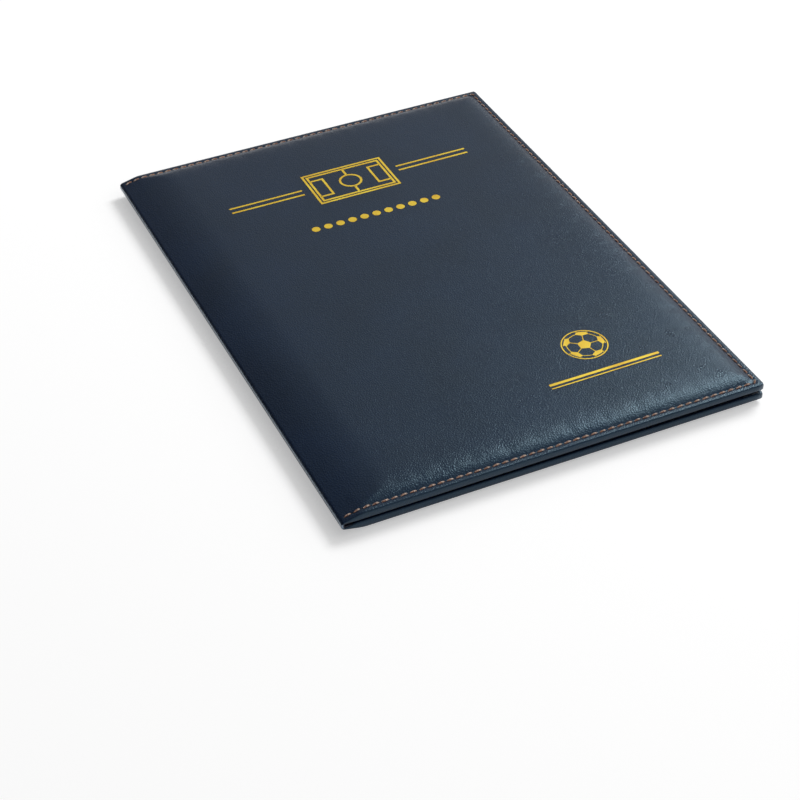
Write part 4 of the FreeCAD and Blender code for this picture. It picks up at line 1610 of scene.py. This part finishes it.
def floor():
    """A pale floor that glows a little where it is seen, so that it stays white."""
    reach = FLOOR_REACH
    mesh = bpy.data.meshes.new("floor")
    corners = [(-reach, -reach, 0), (reach, -reach, 0), (reach, reach, 0), (-reach, reach, 0)]
    mesh.from_pydata(corners, [], [(0, 1, 2, 3)])
    material = bpy.data.materials.new("pale_floor")
    material.use_nodes = True
    look = Nodes(material.node_tree)
    look.tree.nodes.remove(look.tree.nodes["Principled BSDF"])
    rays = look.add("ShaderNodeLightPath")
    shown = look.maths("MAXIMUM", rays["Is Camera Ray"], rays["Is Glossy Ray"])
    shown = look.maths("MAXIMUM", shown, rays["Is Transmission Ray"])
    paper = look.add("ShaderNodeBsdfDiffuse", {"Color": FLOOR_TONE})[0]
    glow = look.add("ShaderNodeEmission", {"Color": WHITE, "Strength": look.times(shown, FLOOR_GLOW)})[0]
    both = look.add("ShaderNodeAddShader", {0: paper, 1: glow})[0]
    look.feed(look.tree.nodes["Material Output"].inputs, {"Surface": both})
    mesh.materials.append(material)
    sheet = put("floor", mesh)


def studio_dome():
    """Soft light all round, brighter above and to the open side, with a pale line where the floor ends."""
    world = bpy.data.worlds.new("studio_dome")
    bpy.context.scene.world = world
    world.use_nodes = True
    look = Nodes(world.node_tree)
    way = look.add("ShaderNodeTexCoord")["Generated"]
    parts = look.add("ShaderNodeSeparateXYZ", {0: way})
    level = look.ranged(parts["Z"], BACKDROP_LOW, BACKDROP_HIGH, BACKDROP_LIGHT, CEILING_LIGHT)
    level = look.times(level, look.ranged(parts["X"], DARK_SIDE, LIGHT_SIDE, DARK_SHARE, 1.0))
    horizon = look.ranged(parts["Z"], HORIZON_LOW, HORIZON_HIGH, HORIZON_LIGHT, 0.0)
    level = look.maths("MAXIMUM", level, horizon)
    look.feed(look.tree.nodes["Background"].inputs, {"Color": WHITE, "Strength": level})


def softbox(name, turn, tilt, distance, width, height, power):
    """A soft lamp aimed at the middle of the part, at a turn from +Y towards +X and a tilt off the floor."""
    lamp = bpy.data.lights.new(name, "AREA")
    lamp.shape = "RECTANGLE"
    lamp.size = width
    lamp.size_y = height
    lamp.energy = power
    turn, tilt = math.radians(turn), math.radians(tilt)
    way = Vector((math.sin(turn) * math.cos(tilt), math.cos(turn) * math.cos(tilt), math.sin(tilt)))
    stand = put(name, lamp)
    stand.location = way * distance
    stand.rotation_mode = "QUATERNION"
    stand.rotation_quaternion = way.to_track_quat("Z", "Y")


def camera():
    """The photograph's camera, from its turn about the vertical, its tilt and its roll."""
    forward = Vector((
        math.sin(CAMERA_TURN) * math.cos(CAMERA_TILT),
        math.cos(CAMERA_TURN) * math.cos(CAMERA_TILT),
        -math.sin(CAMERA_TILT),
    ))
    level_right = Vector((math.cos(CAMERA_TURN), -math.sin(CAMERA_TURN), 0.0))
    level_down = forward.cross(level_right)
    right = level_right * math.cos(CAMERA_ROLL) + level_down * math.sin(CAMERA_ROLL)
    up = level_right * math.sin(CAMERA_ROLL) - level_down * math.cos(CAMERA_ROLL)
    lens = bpy.data.cameras.new("camera")
    lens.lens = CAMERA_LENS
    lens.sensor_width = CAMERA_SENSOR
    lens.clip_start = CAMERA_NEAR
    lens.clip_end = 3 * FLOOR_REACH
    holder = put("camera", lens)
    axes = Matrix((right, up, -forward)).transposed().to_4x4()
    holder.matrix_world = Matrix.Translation(CAMERA_TARGET - forward * CAMERA_DISTANCE) @ axes
    bpy.context.scene.camera = holder


# Build
camera()
floor()
studio_dome()
softbox("key_softbox", turn=66.5, tilt=44, distance=2.7, width=1.25, height=0.95, power=43.0)
for panel in PANELS:
    cover(panel)
    foam(panel)
    border_lining(panel)
    half_pitch(panel)
spine_crease()
spine_strip()
stitch = stitch_shape()
hole = hole_shape()
for panel in PANELS:
    seam(panel, stitch, hole)
take_away(stitch)
take_away(hole)
cover_foil()
dress_inside()
bpy.context.scene.view_settings.view_transform = "Standard"
